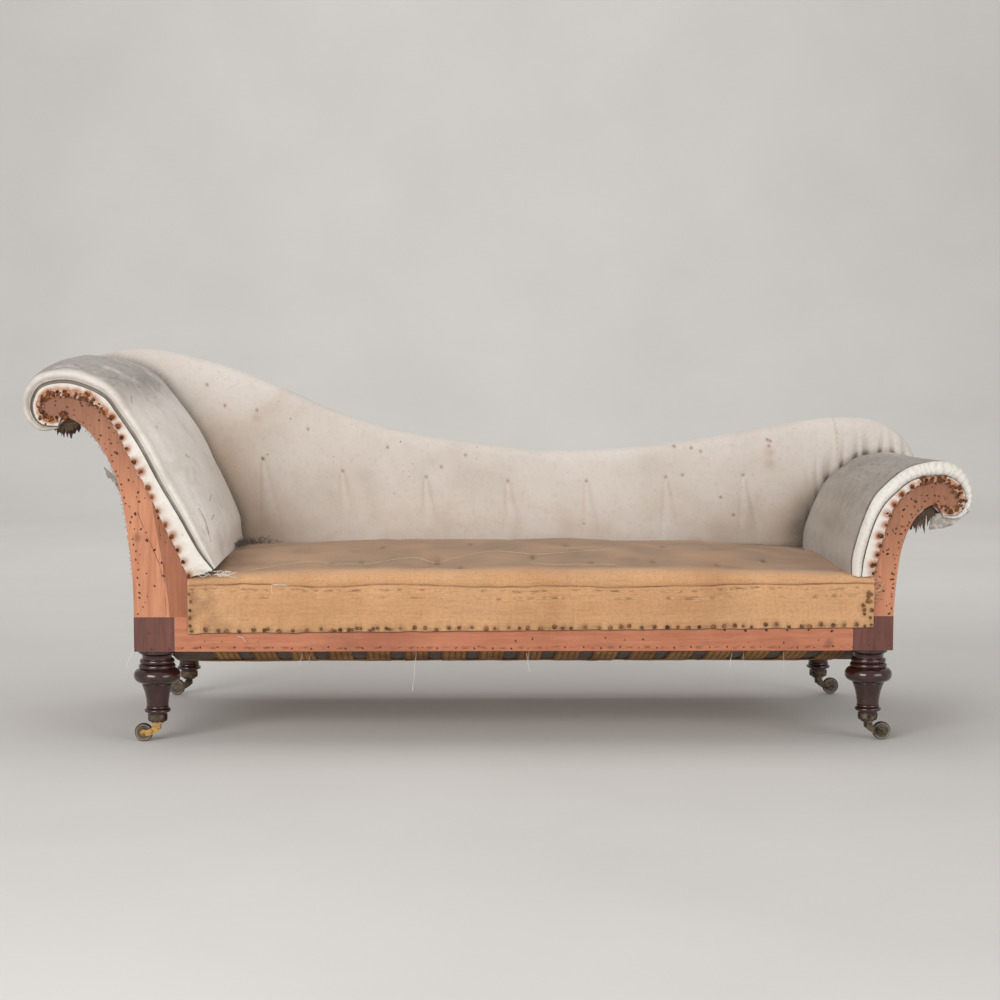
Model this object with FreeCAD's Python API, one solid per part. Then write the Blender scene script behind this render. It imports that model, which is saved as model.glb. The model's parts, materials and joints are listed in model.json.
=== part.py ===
import FreeCAD, Part
import math
import os

# A scroll-ended chaise longue stripped back to its calico and hessian, on turned legs with castors.
# Millimetres. X runs from the head end (minus) to the foot end (plus), Y from front to back, Z up.
# The origin lies on the floor under the middle of the whole piece.

Vector = FreeCAD.Vector

# Frame
leg_spacing = 1474.5        # head leg axis to foot leg axis
leg_depth = 560.0           # front leg axis to rear leg axis
head_leg_x = -711.5         # head leg axis from the middle of the piece
block_size = 83.0           # square block on top of each leg
rail_height = 71.0          # seat rails, and the blocks they are tenoned into
rail_thickness = 32.0
tenon_length = 25.0
tenon_thickness = 12.0
tenon_height = 45.0
tenon_clearance = 0.2
facing_thickness = 30.0     # scroll boards at the four corners
brace_leg = 60.0            # corner braces, along each rail
brace_height = 40.0

# Turned leg, from the block down to the castor
collar_height = 7.0
collar_radius = 38.5
neck_height = 13.0
neck_radius = 30.5
bead_height = 10.0
bead_radius = 36.0
bead_quirk = 33.0
bulb_height = 29.0
bulb_radius = 48.5
fillet_height = 4.0
fillet_radius = 29.0
vase_height = 44.5
vase_top_radius = 32.5
vase_foot_radius = 22.5
vase_swell = 3.2            # radius of the vase at its middle, beyond its foot
ring_height = 18.5
ring_radius = 27.0
ankle_radius = 18.2
spigot_depth = 10.0

# Castors
cup_radius = 20.0
cup_height = 15.0
cup_floor = 4.0
cup_wood_clearance = 0.1
swivel_pin_radius = 4.0
swivel_pin_clearance = 0.05
swivel_head_radius = 6.5
swivel_head_height = 2.5
swivel_head_room = 0.4      # around the riveted head, in the cup
spigot_hollow_room = 1.0    # around the riveted head, in the leg
spigot_hollow_roof = 2.0    # wood left over that hollow, short of the spigot's length
swivel_end_play = 0.3
swivel_plate_radius = 13.0
swivel_plate_thickness = 3.0
wheel_radius = 19.0
wheel_width = 13.0
wheel_dish = 2.0            # each side is this much hollow between hub and rim
wheel_rim = 2.5             # rise of the domed tread
wheel_trail = 29.0
wheel_side_play = 0.4
wheel_top_room = 0.7        # between the tread and the swivel plate
axle_radius = 2.6
axle_clearance = 0.06
axle_head_height = 1.2
axle_head_flare = 1.4       # the riveted ends stand this far beyond the axle's radius
horn_thickness = 3.0
horn_boss_radius = 7.0
horn_stem_length = 14.0
horn_stem_drop = 17.0
castor_screw_radius = 1.5
castor_screw_head = 3.0
castor_screw_head_height = 1.2
castor_screw_proud = 0.8
castor_screw_bite = 5.0     # into the leg, beyond the cup's wall

# Upholstery
seat_seam = 64.0            # front seam above the seat rails
seat_roll = 33.0            # stitched roll above the front seam
seat_crown = 26.0           # middle of the seat above the roll
seat_end_drop = 14.0        # how much lower the seat is at its ends
seat_bulge = 4.5            # how far the front of the seat stands before the rail
spring_lift = 38.0          # spring canvas above the seat rails
cloth = 2.0                 # calico and hessian with their folds
lap_head = 34.0             # hessian border down over the front rail, at the head end
lap_foot = 24.0             # the same at the foot end
edge_lap = 8.0              # hessian border over the scroll boards
head_border_lap = 10.0      # calico border over the face of the head board
foot_border_lap = 6.0       # calico border over the face of the foot board
webbing_width = 50.0
webbing_thickness = 1.5
webbing_sag = 11.0
webbing_pitch = 105.0
webbing_slope = 40.0        # length over which a long strap drops to its sag
end_webbing = 4             # straps under each end pad
canvas_slope = 55.0         # how far from the long rails the spring canvas is level
edge_margin = 4.0           # webbing and canvas stop this far inside the rails' outer faces
spring_turns = 4
spring_wire = 3.6
spring_end_radius = 44.0
spring_waist_radius = 26.0
spring_row_pitch = 150.0
tack_pitch = 25.0
tack_head_radius = 3.4
tack_head_height = 1.6
tack_shank_radius = 0.9
tack_length = 11.0
tack_margin = 5.0           # seat tacks above the border's lower edge
end_rail_section = 30.0     # stuffing rails of the two ends and of the back
stuffing_rail_height = 45.0
stuffing_rail_lift = 30.0   # stuffing rails above the seat rails
head_roller_radius = 22.5
foot_roller_radius = 23.0
back_rail_depth = 62.0      # shaped top rail of the back
back_upright_width = 45.0
full_end = 60.0             # rear scroll boards are whole beyond this distance from the leg axes
back_over_rail = 18.0       # stuffing over the shaped top rail
tuft_depth = 5.0
tuft_radius = 40.0

# Worked out from the sizes above
foot_leg_x = head_leg_x + leg_spacing
front_leg_y = -leg_depth / 2
rear_leg_y = leg_depth / 2
half_block = block_size / 2
front_y = front_leg_y - half_block
rear_y = rear_leg_y + half_block
swivel_plate_top = 2 * wheel_radius + wheel_top_room + swivel_plate_thickness
cup_bottom_z = swivel_plate_top + swivel_end_play
cup_top_z = cup_bottom_z + cup_height
members = [collar_height, neck_height, bead_height, bead_height, bulb_height, fillet_height]
turned_height = sum(members) + vase_height + ring_height
rail_bottom_z = cup_top_z + turned_height
rail_top_z = rail_bottom_z + rail_height
inner_front_y = front_y + facing_thickness
inner_rear_y = rear_y - facing_thickness
cloth_back = webbing_thickness + cloth
past = 1.0                  # how far a cutting shape runs past what it cuts
past_end = 400.0            # from a leg axis to beyond either end
front_reach = 50.0          # before the front face, beyond the bulge of the seat
far_z = rail_top_z + 700.0  # above everything

# Scroll boards. Each point is (distance from the leg axis, height above the seat rails).
head_outer_side = [(-173.5, 410), (-135.5, 387), (-98.5, 340), (-69.5, 271), (-51.5, 169), (-43, 77)]
head_inner_foot = 77.5
head_inner_side = [(77.5, 84), (54, 142), (23.5, 204), (-2.5, 263), (-40.5, 334), (-72, 400), (-119, 447),
                   (-155, 458), (-188, 460), (-213, 456), (-227, 443), (-228.5, 424), (-219, 407),
                   (-203, 401), (-188, 404), (-173.5, 410)]
head_wedge_line = [(32.5, 0), (18, 115), (5, 190), (-2.5, 263)]
head_scroll_centre = (-202.0, 430.0)
foot_outer_side = [(119, 229), (82, 200), (57, 142), (49, 95), (44, 45)]
foot_inner_foot = -8.0
foot_inner_side = [(-8, 85), (2, 125), (11, 162), (23, 202), (38, 234), (63, 261), (94, 278), (132, 283),
                   (163, 271), (180, 240), (174, 223), (158, 216), (140, 217), (119, 229)]
foot_scroll_centre = (148.0, 246.0)

# Seams where the calico border meets the pad. Each entry is the point, the pad's thickness beyond it in the
# roll at the front, and its thickness at its fullest.
head_seam = [((121, 97), 10, 16), ((91, 136), 20, 52), ((51, 208), 24, 66), ((11, 277), 26, 75),
             ((-28, 351), 26, 74), ((-72, 418), 26, 66), ((-98, 450), 27, 61), ((-144, 472), 28, 56),
             ((-184, 478), 28, 52), ((-222, 468), 28, 40), ((-238, 440), 27, 29), ((-236, 413), 21, 23),
             ((-220, 395), 15, 16), ((-190, 391), 5, 5)]
foot_seam = [((-25, 81), 18, 40), ((-21, 116), 22, 43), ((-11, 157), 22, 41), ((2, 196), 22, 38),
             ((20, 229), 25, 36), ((43, 253), 27, 32), ((71, 276), 29, 27), ((103, 286), 32, 24),
             ((142, 287), 30, 22), ((169, 275), 24, 22), ((184, 248), 17, 20), ((181, 224), 14, 16),
             ((166, 209), 10, 11), ((140, 207), 4, 4)]
# Points where a long outline passes from one edge to the next
seam_joins = [3, 6, 9]
# How full each pad is from front to back: (distance behind the front face, share of the roll's thickness,
# share of what the fullest part adds to it)
head_fullness = [(0, 0.0, 0.0), (3, 0.42, 0.0), (8, 0.72, 0.02), (16, 0.94, 0.06), (26, 1.0, 0.14),
                 (50, 1.0, 0.36), (110, 1.0, 0.72), (230, 1.0, 0.98), (380, 1.0, 1.0), (500, 1.0, 0.78),
                 (583, 1.0, 0.55)]
foot_fullness = [(0, 0.0, 0.0), (4, 0.5, 0.0), (11, 0.85, 0.0), (24, 1.0, 0.0), (60, 1.0, 0.15),
                 (180, 1.0, 0.6), (330, 1.0, 0.95), (430, 1.0, 1.0), (520, 0.96, 0.9), (583, 0.8, 0.6)]

# Top line of the back: (share of the way between the leg axes, distance along X, height above the rails)
back_line = [(0, -232, 412), (0, -254, 446), (0, -240, 492), (0, -208, 524), (0, -160, 540), (0, -104, 544),
             (0, -46, 539), (0.06, 0, 507), (0.15, 0, 455), (0.25, 0, 392), (0.35, 0, 351), (0.46, 0, 325),
             (0.56, 0, 309), (0.66, 0, 312), (0.78, 0, 330), (0.9, 0, 360), (1, -20, 381), (1, 50, 385),
             (1, 121, 378), (1, 170, 356), (1, 205, 318), (1, 216, 286), (1, 207, 246), (1, 182, 217)]
back_head_turn = 5          # points of that line that turn round the head scroll
back_foot_turn = 6          # points of that line that turn round the foot scroll
head_turn_centre = (-160.0, 448.0)
foot_turn_centre = (128.0, 290.0)
# The back pad from back to front: (distance before the rear face, how far the outline is drawn in)
back_fullness = [(0, 15.0), (10, 6.0), (24, 1.0), (40, 0.0), (56, 3.0), (70, 12.0), (79, 28.0), (86, 60.0),
                 (90, 105.0)]
# Tufts of the back: (share of the way between the leg axes, height above the rails)
back_tufts = [(0.107, 258), (0.219, 229), (0.336, 215), (0.446, 203), (0.558, 203), (0.668, 211),
              (0.775, 218), (0.163, 316), (0.279, 280), (0.389, 262), (0.5, 247), (0.612, 249),
              (0.722, 265), (0.835, 281)]

os.makedirs("parts", exist_ok=True)
made = []


def save(name, solids):
    """Writes one named node; a list of solids becomes one group."""
    shape = solids[0] if len(solids) == 1 else Part.makeCompound(solids)
    shape.exportStep("parts/" + name + ".step")
    made.append(name)
    print(name, len(shape.Solids), "solids", round(shape.Volume / 1000, 1), "cm3", shape.isValid())


def box(low, high):
    size = Vector(*high) - Vector(*low)
    return Part.makeBox(size.x, size.y, size.z, Vector(*low))


def paces(points):
    """Where each point lies along a smooth curve, from 0 to 1, by the root of its distances."""
    along = [0.0]
    for start, end in zip(points, points[1:]):
        along.append(along[-1] + math.sqrt(start.distanceToPoint(end)))
    return [value / along[-1] for value in along]


def curve(points, steps=None):
    """One smooth edge through the points."""
    spline = Part.BSplineCurve()
    spline.interpolate(Points=points, Parameters=steps or paces(points))
    return spline.toShape()


def lengths(points, joins, steps=None):
    """The same smooth curve as several edges that meet at the points numbered in joins."""
    along = steps or paces(points)
    stops = [0] + joins + [len(points) - 1]
    found = []
    for first, last in zip(stops, stops[1:]):
        spline = Part.BSplineCurve()
        spline.interpolate(Points=points, Parameters=along)
        spline.segment(along[first], along[last])
        found.append(spline.toShape())
    return found


def line(start, end):
    return Part.LineSegment(start, end).toShape()


def upright(point, leg_x, y=0.0):
    """A point of a scroll outline, given from the leg axis and the seat rails."""
    return Vector(leg_x + point[0], y, rail_top_z + point[1])


def extruded(edges, y_front, y_back):
    """A board: closed edges drawn at Y = 0, carried from one Y to another."""
    wire = Part.Wire(Part.__sortEdges__(edges))
    face = Part.Face(wire)
    face.translate(Vector(0, y_front, 0))
    return face.extrude(Vector(0, y_back - y_front, 0))


def normals(points, side):
    """Unit normals of an open line of (x, z) points, on its left (1) or right (-1)."""
    found = []
    for i in range(len(points)):
        before = points[max(i - 1, 0)]
        after = points[min(i + 1, len(points) - 1)]
        dx = after[0] - before[0]
        dz = after[1] - before[1]
        length = math.hypot(dx, dz)
        found.append((-side * dz / length, side * dx / length))
    return found


def shifted(points, amounts, side):
    """The points moved along their normals by the amounts given."""
    directions = normals(points, side)
    return [(p[0] + n[0] * a, p[1] + n[1] * a) for p, n, a in zip(points, directions, amounts)]


def inside(shape, region):
    """The solids of a shape that lie within a region, as one list."""
    return shape.common(region).Solids


def largest(shape):
    return max(shape.Solids, key=lambda solid: solid.Volume)


# Legs: a revolved outline of (radius, height above the floor)
def leg(leg_x, leg_y, x_side, y_side):
    top = rail_bottom_z
    z_neck = top - collar_height
    z_bead = z_neck - neck_height
    z_second = z_bead - bead_height
    z_bulb = z_second - bead_height
    z_fillet = z_bulb - bulb_height
    z_vase = z_fillet - fillet_height
    z_ring = z_vase - vase_height
    z_ankle = cup_top_z
    z_spigot = cup_top_z - spigot_depth
    ring_mid = z_ring - 0.62 * ring_height
    ring_low = z_ring - 0.75 * ring_height

    def arc(r1, z1, rm, zm, r2, z2):
        return Part.Arc(Vector(r1, 0, z1), Vector(rm, 0, zm), Vector(r2, 0, z2)).toShape()

    def step(r1, z1, r2, z2):
        return line(Vector(r1, 0, z1), Vector(r2, 0, z2))

    spigot_radius = cup_radius - cup_floor / 2 - cup_wood_clearance
    edges = [
        step(0, top, collar_radius, top),
        step(collar_radius, top, collar_radius, z_neck),
        arc(collar_radius, z_neck, neck_radius + 1, z_neck - 0.45 * neck_height, neck_radius, z_bead),
        step(neck_radius, z_bead, bead_quirk, z_bead),
        arc(bead_quirk, z_bead, bead_radius, z_bead - bead_height / 2, bead_quirk, z_second),
        arc(bead_quirk, z_second, bead_radius + 2, z_second - bead_height / 2, bead_quirk + 3, z_bulb),
        arc(bead_quirk + 3, z_bulb, bulb_radius, z_bulb - 0.45 * bulb_height, bead_quirk + 3, z_fillet),
        step(bead_quirk + 3, z_fillet, fillet_radius, z_fillet),
        step(fillet_radius, z_fillet, fillet_radius, z_vase),
        step(fillet_radius, z_vase, vase_top_radius, z_vase),
        arc(vase_top_radius, z_vase, vase_foot_radius + vase_swell, z_vase - 0.45 * vase_height,
            vase_foot_radius, z_ring),
        step(vase_foot_radius, z_ring, vase_foot_radius - 2, z_ring),
        arc(vase_foot_radius - 2, z_ring, vase_foot_radius + 1, z_ring - 0.18 * ring_height,
            vase_foot_radius - 1, z_ring - 0.36 * ring_height),
        arc(vase_foot_radius - 1, z_ring - 0.36 * ring_height, ring_radius, ring_mid,
            vase_foot_radius, ring_low),
        step(vase_foot_radius, ring_low, ankle_radius, ring_low),
        step(ankle_radius, ring_low, ankle_radius, z_ankle),
        step(ankle_radius, z_ankle, spigot_radius, z_ankle),
        step(spigot_radius, z_ankle, spigot_radius, z_spigot),
        step(spigot_radius, z_spigot, 0, z_spigot),
        step(0, z_spigot, 0, top),
    ]
    turned = Part.Face(Part.Wire(edges)).revolve(Vector(0, 0, 0), Vector(0, 0, 1), 360)
    turned.translate(Vector(leg_x, leg_y, 0))
    block = box((leg_x - half_block, leg_y - half_block, top),
                (leg_x + half_block, leg_y + half_block, rail_top_z))
    whole = block.fuse(turned).removeSplitter()
    # Mortises for the long rail and the end rail
    reach = tenon_length + tenon_clearance
    half_thick = tenon_thickness / 2 + tenon_clearance
    low = rail_bottom_z + (rail_height - tenon_height) / 2 - tenon_clearance
    high = low + tenon_height + 2 * tenon_clearance
    rail_y = leg_y + y_side * (half_block - rail_thickness / 2)
    rail_x = leg_x + x_side * (half_block - rail_thickness / 2)
    inner_x = leg_x - x_side * half_block
    inner_y = leg_y - y_side * half_block
    xs = sorted((inner_x, inner_x + x_side * reach))
    ys = sorted((inner_y, inner_y + y_side * reach))
    whole = whole.cut(box((xs[0], rail_y - half_thick, low), (xs[1], rail_y + half_thick, high)))
    whole = whole.cut(box((rail_x - half_thick, ys[0], low), (rail_x + half_thick, ys[1], high)))
    # Room for the riveted head of the swivel pin
    pin_room = Part.makeCylinder(swivel_head_radius + spigot_hollow_room, spigot_depth - spigot_hollow_roof,
                                 Vector(leg_x, leg_y, z_spigot))
    return whole.cut(pin_room).Solids[0]


corners = {
    "front_head": (head_leg_x, front_leg_y, -1, -1),
    "front_foot": (foot_leg_x, front_leg_y, 1, -1),
    "rear_head": (head_leg_x, rear_leg_y, -1, 1),
    "rear_foot": (foot_leg_x, rear_leg_y, 1, 1),
}
for corner, place in corners.items():
    save("leg_" + corner, [leg(*place)])

# Seat rails with their tenons
tenon_low = rail_bottom_z + (rail_height - tenon_height) / 2
tenon_high = tenon_low + tenon_height
inner_head_x = head_leg_x + half_block
inner_foot_x = foot_leg_x - half_block
inner_front_block = front_leg_y + half_block
inner_rear_block = rear_leg_y - half_block


def long_rail(y_low):
    middle = y_low + rail_thickness / 2
    rail = box((inner_head_x, y_low, rail_bottom_z), (inner_foot_x, y_low + rail_thickness, rail_top_z))
    tenon = box((inner_head_x - tenon_length, middle - tenon_thickness / 2, tenon_low),
                (inner_foot_x + tenon_length, middle + tenon_thickness / 2, tenon_high))
    return rail.fuse(tenon).removeSplitter()


def end_rail(x_low):
    middle = x_low + rail_thickness / 2
    rail = box((x_low, inner_front_block, rail_bottom_z),
               (x_low + rail_thickness, inner_rear_block, rail_top_z))
    tenon = box((middle - tenon_thickness / 2, inner_front_block - tenon_length, tenon_low),
                (middle + tenon_thickness / 2, inner_rear_block + tenon_length, tenon_high))
    return rail.fuse(tenon).removeSplitter()


save("front_rail", [long_rail(front_y)])
save("rear_rail", [long_rail(rear_y - rail_thickness)])
save("head_rail", [end_rail(head_leg_x - half_block)])
save("foot_rail", [end_rail(foot_leg_x + half_block - rail_thickness)])


def brace(x, y, x_way, y_way):
    """A three-cornered block glued between a leg block and a long rail."""
    corner = Vector(x, y, rail_top_z - brace_height)
    along = corner + Vector(x_way * brace_leg, 0, 0)
    across = corner + Vector(0, y_way * (block_size - rail_thickness), 0)
    face = Part.Face(Part.makePolygon([corner, along, across, corner]))
    return face.extrude(Vector(0, 0, brace_height))


inner_front_rail = front_y + rail_thickness
inner_rear_rail = rear_y - rail_thickness
save("corner_braces", [
    brace(inner_head_x, inner_front_rail, 1, 1),
    brace(inner_foot_x, inner_front_rail, -1, 1),
    brace(inner_head_x, inner_rear_rail, 1, -1),
    brace(inner_foot_x, inner_rear_rail, -1, -1),
])


# Scroll boards
def board_edges(outer_side, inner_side, inner_foot, outer_foot, leg_x):
    base_outer = upright((outer_foot, 0), leg_x)
    base_inner = upright((inner_foot, 0), leg_x)
    inner = curve([upright(p, leg_x) for p in inner_side])
    outer = curve([upright(p, leg_x) for p in outer_side] + [base_outer])
    return [line(base_outer, base_inner), line(base_inner, upright(inner_side[0], leg_x)), inner, outer]


def head_board(y_front, y_back):
    edges = board_edges(head_outer_side, head_inner_side, head_inner_foot, -half_block, head_leg_x)
    return extruded(edges, y_front, y_back)


def foot_board(y_front, y_back):
    edges = board_edges(foot_outer_side, foot_inner_side, foot_inner_foot, half_block, foot_leg_x)
    return extruded(edges, y_front, y_back)


def wedge_region(y_front, y_back):
    """Everything on the seat side of the glue line of the head boards, up to its top."""
    points = [upright(p, head_leg_x) for p in head_wedge_line]
    top = points[-1]
    far = top + Vector(block_size * 2, 0, 0)
    low = Vector(far.x, 0, points[0].z)
    edges = [curve(points), line(top, far), line(far, low), line(low, points[0])]
    return extruded(edges, y_front, y_back)


# The back frame's outline: the line of the back drawn in by the stuffing over the rail
def back_points(drawn_in, thinner=0.0):
    """Points of the top line of the back, moved inwards."""
    points = []
    last = len(back_line) - back_foot_turn
    for i, (share, dx, height) in enumerate(back_line):
        x = head_leg_x + share * leg_spacing + dx
        z = rail_top_z + height
        if i < back_head_turn:
            centre = upright(head_turn_centre, head_leg_x)
        elif i >= last:
            centre = upright(foot_turn_centre, foot_leg_x)
        else:
            centre = Vector(x, 0, rail_top_z)
        start = Vector(x, 0, z)
        way = centre - start
        reach = min(drawn_in, 0.62 * way.Length) + thinner
        points.append(start + way.normalize() * reach)
    return points


back_foot_z = rail_top_z + stuffing_rail_lift


def back_side(outer_side, leg_x, way, side_out, top_point):
    """Points up the outer side of the back at one end, let out by the amount given."""
    low = Vector(leg_x + way * (half_block + side_out), 0, back_foot_z)
    points = [upright(p, leg_x) + Vector(way * side_out, 0, 0) for p in outer_side[1:]]
    points = [p for p in points if p.z > back_foot_z + stuffing_rail_lift]
    return [low] + list(reversed(points)) + [top_point]


back_paces = [
    paces(back_points(0.0)),
    paces(back_side(head_outer_side, head_leg_x, -1, 0.0, back_points(0.0)[0])),
    paces(back_side(foot_outer_side, foot_leg_x, 1, 0.0, back_points(0.0)[-1])),
]


def back_edges(drawn_in, side_out, thinner=0.0):
    """Closed outline of the back, drawn in at its top line and let out at its sides."""
    top = back_points(drawn_in, thinner)
    head = back_side(head_outer_side, head_leg_x, -1, side_out, top[0])
    foot = back_side(foot_outer_side, foot_leg_x, 1, side_out, top[-1])
    return [curve(top, back_paces[0]), curve(head, back_paces[1]), line(head[0], foot[0]),
            curve(foot, back_paces[2])]


frame_prism = extruded(back_edges(back_over_rail, 0.0), inner_rear_y, rear_y)
below_rail = extruded(back_edges(back_over_rail + back_rail_depth, -10.0), inner_rear_y - past, rear_y + past)
head_joint_x = head_leg_x + head_inner_foot
foot_joint_x = foot_leg_x + foot_inner_foot
top_band = frame_prism.cut(below_rail)


def rear_zone(x_low, x_high):
    """The thickness of the back frame, above the seat rails, from one X to another."""
    return box((x_low, inner_rear_y - past, rail_top_z), (x_high, rear_y + past, far_z))


save("back_top_rail", inside(top_band, rear_zone(head_joint_x, foot_joint_x)))

# Rear scroll boards reach up to the line of the back
head_zone = rear_zone(head_leg_x - past_end, head_joint_x)
foot_zone = rear_zone(foot_joint_x, foot_leg_x + past_end)
head_end = rear_zone(head_leg_x - past_end, head_leg_x - full_end)
foot_end = rear_zone(foot_leg_x + full_end, foot_leg_x + past_end)


def rear_board(board, zone, end):
    """A rear scroll board with the part of the back frame over its scroll."""
    cap = top_band.common(zone).fuse(frame_prism.common(end))
    return board.fuse(cap).removeSplitter()


head_rear_board = rear_board(head_board(inner_rear_y, rear_y), head_zone, head_end)
foot_rear_board = rear_board(foot_board(inner_rear_y, rear_y), foot_zone, foot_end)
front_wedge = wedge_region(front_y, inner_front_y)
rear_wedge = wedge_region(inner_rear_y, rear_y)
head_front_board = head_board(front_y, inner_front_y)
save("head_facing_front", head_front_board.cut(front_wedge).Solids)
save("head_facing_rear", head_rear_board.cut(rear_wedge).Solids)
save("head_wedges", head_front_board.common(front_wedge).Solids + head_rear_board.common(rear_wedge).Solids)
foot_front_board = foot_board(front_y, inner_front_y)
save("foot_facing_front", foot_front_board.Solids)
save("foot_facing_rear", foot_rear_board.Solids)


def roller(centre, radius, leg_x):
    middle = upright(centre, leg_x, inner_front_y)
    return Part.makeCylinder(radius, inner_rear_y - inner_front_y, middle, Vector(0, 1, 0))


save("head_scroll_rail", [roller(head_scroll_centre, head_roller_radius, head_leg_x)])
save("foot_scroll_rail", [roller(foot_scroll_centre, foot_roller_radius, foot_leg_x)])
stuffing_low = rail_top_z + stuffing_rail_lift
stuffing_high = stuffing_low + stuffing_rail_height
head_stuffing_x = head_joint_x - cloth_back
foot_stuffing_x = foot_joint_x + cloth_back
save("head_stuffing_rail", [box((head_stuffing_x - end_rail_section, inner_front_y, stuffing_low),
                                (head_stuffing_x, inner_rear_y, stuffing_high))])
save("foot_stuffing_rail", [box((foot_stuffing_x, inner_front_y, stuffing_low),
                                (foot_stuffing_x + end_rail_section, inner_rear_y, stuffing_high))])
save("back_tacking_rail", [box((head_joint_x, rear_y - end_rail_section, stuffing_low),
                               (foot_joint_x, rear_y, stuffing_high))])
uprights = []
for share in (0.25, 0.5, 0.75):
    middle_x = head_joint_x + share * (foot_joint_x - head_joint_x)
    post = box((middle_x - back_upright_width / 2, rear_y - end_rail_section, stuffing_high),
               (middle_x + back_upright_width / 2, rear_y, far_z))
    uprights += inside(post, below_rail)
save("back_uprights", uprights)


# Castors: brass cups, horns that swivel in them, and wheels on riveted axles
pin_seat_z = cup_top_z - spigot_depth - swivel_head_height - 2 * swivel_end_play


def castor_cup(x, y):
    outer = Part.makeCylinder(cup_radius, cup_height, Vector(x, y, cup_bottom_z))
    rim = [edge for edge in outer.Edges if abs(edge.CenterOfMass.z - cup_bottom_z) < 0.01 and edge.Closed]
    outer = outer.makeFillet(cup_floor, rim)
    hollow = Part.makeCylinder(cup_radius - cup_floor / 2, cup_height, Vector(x, y, cup_top_z - spigot_depth))
    pin_bore_radius = swivel_pin_radius + swivel_pin_clearance
    bore = Part.makeCylinder(pin_bore_radius, cup_height, Vector(x, y, cup_bottom_z - past))
    sink = Part.makeCylinder(swivel_head_radius + swivel_head_room, cup_height, Vector(x, y, pin_seat_z))
    return outer.cut(hollow).cut(bore).cut(sink).Solids[0]


def castor_horn(x, y, way):
    """Swivel pin, plate and two cheeks down to the axle; way is +1 or -1 along X for the trailing side."""
    plate_low = swivel_plate_top - swivel_plate_thickness
    axle_x = x + way * wheel_trail
    pin_top = pin_seat_z + swivel_end_play
    pin = Part.makeCylinder(swivel_pin_radius, pin_top - plate_low, Vector(x, y, plate_low))
    head = Part.makeCylinder(swivel_head_radius, swivel_head_height, Vector(x, y, pin_top))
    plate = Part.makeCylinder(swivel_plate_radius, swivel_plate_thickness, Vector(x, y, plate_low))
    inner = wheel_width / 2 + wheel_side_play
    outer = inner + horn_thickness
    stem_top = plate_low + swivel_plate_thickness / 2
    stem_low = stem_top - horn_stem_drop
    front = x - way * horn_stem_length / 2
    back = x + way * horn_stem_length / 2
    root = Vector(front, 0, stem_top)
    toe = Vector(front + way * 1.5, 0, stem_low + 3)
    boss_low = Vector(axle_x, 0, wheel_radius - horn_boss_radius)
    boss_end = Vector(axle_x + way * horn_boss_radius, 0, wheel_radius)
    boss_top = Vector(axle_x, 0, wheel_radius + horn_boss_radius)
    shoulder = Vector(back, 0, stem_top)
    belly = Vector(x + way * wheel_trail * 0.42, 0, wheel_radius - horn_boss_radius + 2.5)
    throat = Vector(x + way * wheel_trail * 0.5, 0, wheel_radius + horn_boss_radius + 1.5)
    edges = [line(root, toe), Part.Arc(toe, belly, boss_low).toShape(),
             Part.Arc(boss_low, boss_end, boss_top).toShape(),
             Part.Arc(boss_top, throat, shoulder).toShape(), line(shoulder, root)]
    cheek = Part.Face(Part.Wire(edges)).extrude(Vector(0, horn_thickness, 0))
    near = cheek.translated(Vector(0, y - outer, 0))
    far = cheek.translated(Vector(0, y + inner, 0))
    wheel_side = Vector(axle_x, y - inner, wheel_radius)
    wheel_room = Part.makeCylinder(wheel_radius + wheel_top_room, 2 * inner, wheel_side, Vector(0, 1, 0))
    xs = sorted((front, back))
    bridge = box((xs[0], y - inner, stem_low + 3), (xs[1], y + inner, stem_top)).cut(wheel_room)
    horn = pin.fuse([head, plate, near, far, bridge]).removeSplitter()
    bore_start = Vector(axle_x, y - outer - past, wheel_radius)
    bore = Part.makeCylinder(axle_radius, 2 * (outer + past), bore_start, Vector(0, 1, 0))
    return horn.cut(bore).Solids[0]


def castor_wheel(x, y, way):
    axle_x = x + way * wheel_trail
    half = wheel_width / 2
    web = wheel_dish - half
    profile = [(axle_radius + axle_clearance, -half), (horn_boss_radius, -half),
               (horn_boss_radius + wheel_dish, web), (wheel_radius - 2 * wheel_dish, web),
               (wheel_radius - wheel_rim, -half)]
    points = [Vector(r, d, 0) for r, d in profile]
    mirror = [Vector(p.x, -p.y, 0) for p in reversed(points)]
    tread = Part.Arc(points[-1], Vector(wheel_radius, 0, 0), mirror[0]).toShape()
    side = [line(points[i], points[i + 1]) for i in range(len(points) - 1)]
    other = [line(mirror[i], mirror[i + 1]) for i in range(len(mirror) - 1)]
    face = Part.Face(Part.Wire(side + [tread] + other + [line(mirror[-1], points[0])]))
    wheel = face.revolve(Vector(0, 0, 0), Vector(0, 1, 0), 360)
    wheel.translate(Vector(axle_x, y, wheel_radius))
    return wheel.Solids[0]


def castor_axle(x, y, way):
    outer = wheel_width / 2 + wheel_side_play + horn_thickness
    start = Vector(x + way * wheel_trail, y - outer - axle_head_height, wheel_radius)
    rod = Part.makeCylinder(axle_radius, 2 * outer + 2 * axle_head_height, start, Vector(0, 1, 0))
    heads = [Part.makeCylinder(axle_radius + axle_head_flare, axle_head_height, start, Vector(0, 1, 0)),
             Part.makeCylinder(axle_radius + axle_head_flare, axle_head_height,
                               start + Vector(0, 2 * outer + axle_head_height, 0), Vector(0, 1, 0))]
    return rod.fuse(heads).removeSplitter().Solids[0]


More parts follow.
